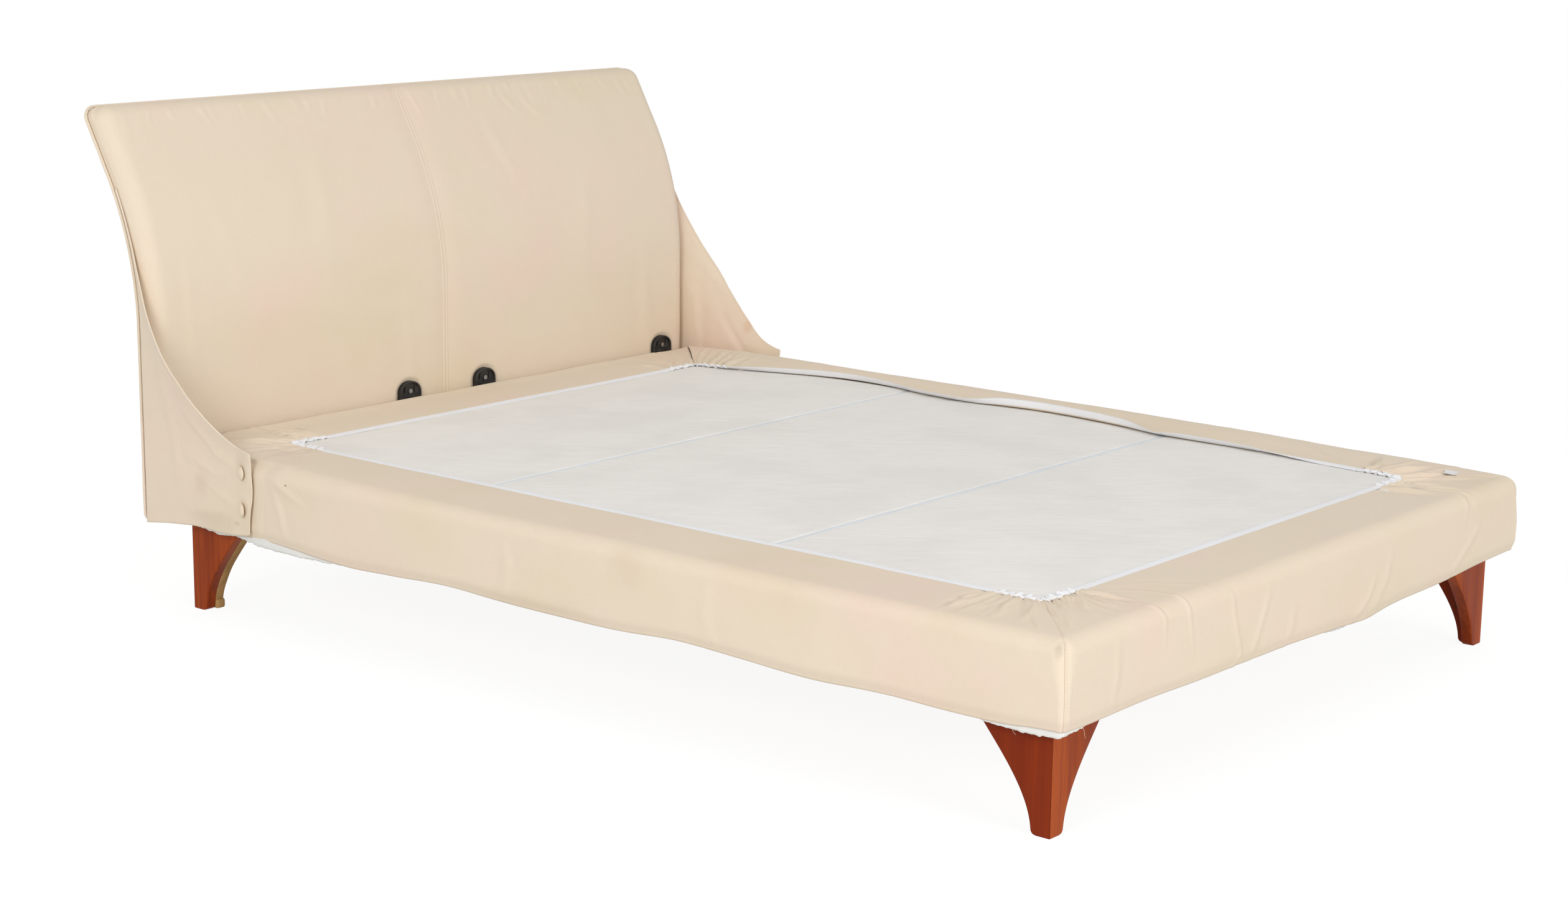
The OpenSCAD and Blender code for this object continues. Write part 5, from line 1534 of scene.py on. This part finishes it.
def bracketPlates():
    # rings of one outline: back edge, rounded front, lip, wall of the recess and its floor
    deckLine = bed["deckTop"] + bracket["lip"]
    rings = [(0.0, bracket["back"] - bracket["front"], bracket["bottom"]), (0.0, 0.0012, bracket["bottom"]),
             (-0.0004, 0.0004, bracket["bottom"]), (-0.0012, 0.0, bracket["bottom"]),
             (-0.0030, 0.0, deckLine - 0.003), (-0.0038, 0.0003, deckLine - 0.004),
             (-0.0044, 0.0012, deckLine - 0.0045), (-0.0048, 0.0038, deckLine - 0.005),
             (-0.0060, 0.0042, deckLine - 0.006)]
    parts = []
    for place in bracket["places"]:
        grid = []
        for grow, depth, base in rings:
            x, z = halfOval(place, grow, base)
            grid.append(pointsOf(x, bracket["front"] + depth, z))
        parts.append(surfacePart(np.array(grid), around=True, flip=True, capFirst=True, capLast=True))
        parts += [ribPart(place + offset, *rib) for offset, *rib in bracketRibs]
    piece = meshObject("bracketPlates", parts)
    sharpen(piece, 35)
    finishPiece(piece, blackPlastic, "black_plastic", "bracket_plates")


def ribPart(x, width, low, high, tall):
    # a small rounded bar on the recessed floor: four corners at three levels, the last drawn in
    inset, rise = np.array([(0.0, 0.0), (0.0, tall * 0.7), (0.0006, tall)]).T[:, :, None]
    acrossSign, upSign = np.array([(-1, -1), (1, -1), (1, 1), (-1, 1)]).T
    grid = pointsOf(x + acrossSign * (width / 2 - inset), bracket["front"] + 0.0043 - rise,
                    (low + high) / 2 + upSign * ((high - low) / 2 - inset))
    return surfacePart(grid, around=True, capLast=True)


bracketPlates()
print("bracket plates made")


# Legs: two mitred boards with a concave edge and a glue block in the corner

leg = {
    "thickness": 0.022,
    "footWidth": 0.038,
    "topWidth": 0.150,
    "toe": 0.010,
    "curveTop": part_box("side_rail_left")[0].z,
    "pulls": ((0.007, 0.075), (0.039, 0.050)),
    "arris": 0.0022,
    "base": 0.0008,
    "toeBlock": (0.044, 0.019),
    "floorGap": 0.001,
}
leg["top"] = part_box("leg_foot_left_side_board")[1].z


def legWidths():
    # width of the board at each height: a rounded toe, a concave cubic curve, then straight up
    pullLow, pullHigh = leg["pulls"]
    curve = bezier([(leg["footWidth"], leg["toe"]), (leg["footWidth"] + pullLow[0], pullLow[1]),
                    (leg["topWidth"] - pullHigh[0], leg["curveTop"] - pullHigh[1]),
                    (leg["topWidth"], leg["curveTop"])], np.linspace(0, 1, 60))
    toeZ = leg["toe"] * (1 - np.cos(np.linspace(0, math.pi / 2, 6)))
    toeW = leg["footWidth"] - leg["toe"] + np.sqrt(np.maximum(leg["toe"] ** 2 - (leg["toe"] - toeZ) ** 2, 0))
    upZ = np.linspace(leg["curveTop"], leg["top"], 8)[1:]
    z = np.concatenate([toeZ[:-1], curve[:, 1], upZ])
    w = np.concatenate([toeW[:-1], curve[:, 0], upZ * 0 + leg["topWidth"]])
    return z, w


def legBoardPart(corner, alongSign, alongAxis, acrossSign):
    # level sections from the floor up: mitred at the corner, with rounded arrises on the free edge
    z, w = legWidths()
    r, t = leg["arris"], leg["thickness"]
    bend = np.linspace(0, math.pi / 2, 5)
    section = []
    for height, width in zip(z, w):
        inset = leg["base"] * float(1 - ease(height, 0, 0.0015))
        outer = [(0.0004 + inset, inset)]
        outer += [(f, inset) for f in np.linspace(0.01, max(width - r, 0.011), 5)]
        outer += [(width - r + (r - inset) * math.sin(b), r - (r - inset) * math.cos(b)) for b in bend[1:]]
        inner = [(width - r + (r - inset) * math.cos(b), t - r + (r - inset) * math.sin(b)) for b in bend]
        section.append(outer + inner + [(t + 0.002, t - inset), (t, t - inset)])
    section = np.array(section)
    grid = np.empty(section.shape[:2] + (3,))
    acrossAxis = 1 - alongAxis
    grid[..., alongAxis] = corner[alongAxis] + alongSign * section[..., 0]
    grid[..., acrossAxis] = corner[acrossAxis] + acrossSign * section[..., 1]
    grid[..., 2] = z[:, None]
    flip = (alongSign * acrossSign > 0) == (alongAxis == 1)
    return surfacePart(grid, around=True, flip=flip, capFirst=True, capLast=True)


def stickPart(low, high, z, r=0.0016):
    # level sections of a stick with rounded long edges; its low and high sides may move from level to level
    bend = np.linspace(0, 2 * np.pi, 20, endpoint=False)
    turns = pointsOf(np.cos(bend), np.sin(bend))
    low, high = (np.broadcast_to(v, (len(z), 2))[:, None] for v in (low, high))
    flat = (low + high) / 2 + np.sign(turns) * ((high - low) / 2 - r) + r * turns
    grid = np.concatenate([flat, np.broadcast_to(np.array(z)[:, None, None], flat.shape[:2] + (1,))], -1)
    return surfacePart(grid, around=True, capFirst=True, capLast=True)


def backingParts(low, high, corner, way):
    # the rough board behind a head leg's side board follows the same curve, over a block at its toe
    z, w = legWidths()
    keep = z > leg["floorGap"]
    z, w = z[keep], w[keep]
    w = w + 0.0006 * softNoise(pointsOf(z, 0, 0), 0.03, 111)
    near = corner[1] + way * leg["thickness"]
    ends = np.sort(pointsOf(near, corner[1] + way * w), -1)
    backing = stickPart(pointsOf(low[0], ends[:, 0]), pointsOf(high[0], ends[:, 1]), z)
    reach, tall = leg["toeBlock"]
    toe = sorted((near, corner[1] + way * reach))
    levels = np.linspace(0, math.pi, 9)
    height = (1 - np.cos(levels)) / 2 * (tall - leg["floorGap"]) + leg["floorGap"]
    inset = 0.0022 * (1 - np.sin(levels)) ** 2
    block = stickPart(pointsOf(low[0] + inset, toe[0] + inset),
                      pointsOf(high[0] + 0.001 - inset, toe[1] - inset), height, 0.004)
    return [backing, block]


def legPieces(end, sideName):
    # side board, end board and what stands behind them, in the finishes of that end of the bed; at the foot
    # the side board and the block take darker copies of their woods, painted shade
    atFoot, side = end == "foot", -1 if sideName == "left" else 1
    base = f"leg_{end}_{sideName}_"
    low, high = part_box(base + "side_board")
    corner = (low.x if side < 0 else high.x, low.y if atFoot else high.y)
    way = 1 if atFoot else -1
    low, high = boxOf(base + "block")
    stick = [stickPart(low[:2], high[:2], np.linspace(low[2], high[2], 12))]
    for tag, parts, wood, slotName, node in (
            ("Side", [legBoardPart(corner, way, 1, -side)], cherryShaded if atFoot else cherryWood,
             "stained_wood", "side_board"),
            ("End", [legBoardPart(corner, -side, 0, way)], cherryWood if atFoot else endWood,
             "stained_wood" if atFoot else "raw_wood", "end_board"),
            ("Block", stick if atFoot else backingParts(low, high, corner, way),
             shadedBlockWood if atFoot else rawWood, "raw_wood", "block")):
        piece = meshObject("leg" + end.capitalize() + sideName.capitalize() + tag, parts)
        sharpen(piece, 30)
        finishPiece(piece, wood, slotName, base + node)


for end in ("foot", "head"):
    for sideName in ("left", "right"):
        legPieces(end, sideName)
print("legs made")


# Care label, blank, and a few loose threads

label = {"size": (0.034, 0.026), "turn": math.radians(18), "wall": 0.0006}


def careLabel():
    # a small sheet whose ends curl up, with a slow wave across
    middle = sum(boxOf("care_label")) / 2
    wide, deep = label["size"]
    uv = gridUv(np.linspace(-wide / 2, wide / 2, 40), np.linspace(-deep / 2, deep / 2, 30))
    u, v = uv[..., 0], uv[..., 1]
    cos, sin = math.cos(label["turn"]), math.sin(label["turn"])
    z = bed["deckTop"] + 0.0022 + 0.0016 * (2 * u / wide) ** 2 + 0.0008 * np.sin(v / 0.006)
    points = pointsOf(middle[0] + u * cos - v * sin, middle[1] + u * sin + v * cos, z)
    piece = meshObject("careLabel", [surfacePart(points, uv)])
    addWall(piece, label["wall"])
    finishPiece(piece, labelCloth, "white_trim", "care_label")


def looseThreads():
    # thin threads that hang from the hem, each a short curve
    parts = []
    for x, y, z, dx, dy, drop in (
            (bed["left"] + 0.055, bed["foot"] + 0.0035, 0.188, 0.004, -0.003, 0.016),
            (bed["left"] + 0.0035, fromFoot(0.098), 0.182, -0.003, -0.006, 0.009),
            (bed["left"] + 0.0035, fromFoot(1.845), 0.176, -0.002, 0.006, 0.012),
            (bed["left"] + 0.0035, fromFoot(1.700), 0.174, -0.002, -0.005, 0.008),
            (bed["right"] - 0.0035, fromFoot(0.410), 0.184, 0.002, 0.005, 0.010)):
        t = np.linspace(0, 1, 16)
        path = pointsOf(x + dx * np.sin(2.2 * t), y + dy * t ** 2 * 1.5,
                        z - drop * t + 0.002 * np.sin(5 * t))
        parts.append(tubePart(path, 0.00028 * (1 - 0.5 * t), 6, np.array([0.3, 1.0, 0.1])))
    finishPiece(meshObject("looseThreads", parts), threadCloth, "cover_cloth")


careLabel()
looseThreads()


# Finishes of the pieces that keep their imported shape

packedFinish = {
    plyWood: ("side_rail_left", "side_rail_right", "foot_rail", "head_rail", "cross_bearer_foot",
              "cross_bearer_head", "deck_board_foot", "deck_board_middle", "deck_board_head",
              "headboard_shell"),
    boltSteel: ("bracket_screws", "headboard_bolts", "leg_bolts"),
}
for finish, names in packedFinish.items():
    for name in names:
        nodes[name].data.materials.clear()
        nodes[name].data.materials.append(finish)
print("small parts made")


# Floor, light and camera

studio = {
    "ambient": 0.62,
    "floorTone": 0.90,
    "floorGlow": 0.84,
    "glowStrength": 1.08,
    "floorSize": 90.0,
    "softboxSize": (2.2, 1.8),
    # place, aim and power of each softbox
    "sideSoftbox": ((-5.6, -1.6, 2.8), (0, 0, 0.3), 113),
    "footSoftbox": ((-1.2, -7.2, 2.8), (0, 0, 0.4), 148),
}
photo = {"yaw": 50.858, "pitch": 12.158, "roll": 0.748, "lens": 64.461, "sensor": 36.0,
         "place": (-4.2247, -3.41628, 1.4870), "far": 60.0}


def seenThrough(owner):
    # 1 where the camera sees this directly, in a reflection or through glass
    path = addNode(owner, "ShaderNodeLightPath")
    seen = math2(owner, "MAXIMUM", path.outputs["Is Camera Ray"], path.outputs["Is Glossy Ray"])
    return math2(owner, "MAXIMUM", seen, path.outputs["Is Transmission Ray"])


def makeFloor():
    # a wide pale floor that glows a little for the camera, so that it runs into the background
    size = studio["floorSize"]
    grid = np.array([[(-size, -size, 0), (size, -size, 0)], [(-size, size, 0), (size, size, 0)]], float)
    floor = meshObject("studioFloor", [surfacePart(grid)])
    material, shader, _ = newMaterial("studioFloor", 0.9)
    shader.inputs["Base Color"].default_value = (studio["floorTone"],) * 3 + (1,)
    shader.inputs["Specular IOR Level"].default_value = 0.0
    glow = addNode(material, "ShaderNodeEmission",
                   {"Color": (1, 1, 1, 1), "Strength": studio["glowStrength"]})
    factor = math2(material, "MULTIPLY", seenThrough(material), studio["floorGlow"])
    mixed = addNode(material, "ShaderNodeMixShader", {0: factor, 1: shader.outputs[0], 2: glow.outputs[0]})
    feed(material, mixed.outputs[0], material.node_tree.nodes["Material Output"], "Surface")
    floor.data.materials.append(material)


def makeWorld():
    world = bpy.data.worlds.new("studioWorld")
    bpy.context.scene.world = world
    world.use_nodes = True
    shade = world.node_tree.nodes["Background"]
    shade.inputs["Color"].default_value = (1, 1, 1, 1)
    feed(world, rangeOf(world, seenThrough(world), 0.0, 1.0, studio["ambient"], 1.0), shade, "Strength")


def areaLight(name):
    place, aim, power = studio[name]
    data = bpy.data.lights.new(name, "AREA")
    data.shape = "RECTANGLE"
    data.size, data.size_y = studio["softboxSize"]
    data.energy = power
    lamp = bpy.data.objects.new(name, data)
    lamp.location = place
    lamp.rotation_euler = (Vector(aim) - Vector(place)).to_track_quat("-Z", "Y").to_euler()
    bpy.context.scene.collection.objects.link(lamp)


def makeCamera():
    # the photograph's place, turn and lens
    yaw, pitch, roll = (math.radians(photo[a]) for a in ("yaw", "pitch", "roll"))
    forward = Vector((math.sin(yaw) * math.cos(pitch), math.cos(yaw) * math.cos(pitch), -math.sin(pitch)))
    level = Vector((math.cos(yaw), -math.sin(yaw), 0))
    upward = level.cross(forward)
    right = math.cos(roll) * level + math.sin(roll) * upward
    top = -math.sin(roll) * level + math.cos(roll) * upward
    data = bpy.data.cameras.new("photoCamera")
    data.sensor_width = photo["sensor"]
    data.lens = photo["lens"]
    data.clip_end = photo["far"]
    camera = bpy.data.objects.new("photoCamera", data)
    turn = Matrix((right, top, -forward)).transposed().to_4x4()
    camera.matrix_world = Matrix.Translation(photo["place"]) @ turn
    bpy.context.scene.collection.objects.link(camera)
    bpy.context.scene.camera = camera


makeFloor()
makeWorld()
areaLight("sideSoftbox")
areaLight("footSoftbox")
makeCamera()
bpy.context.scene.view_settings.view_transform = "Standard"
print("stage made")
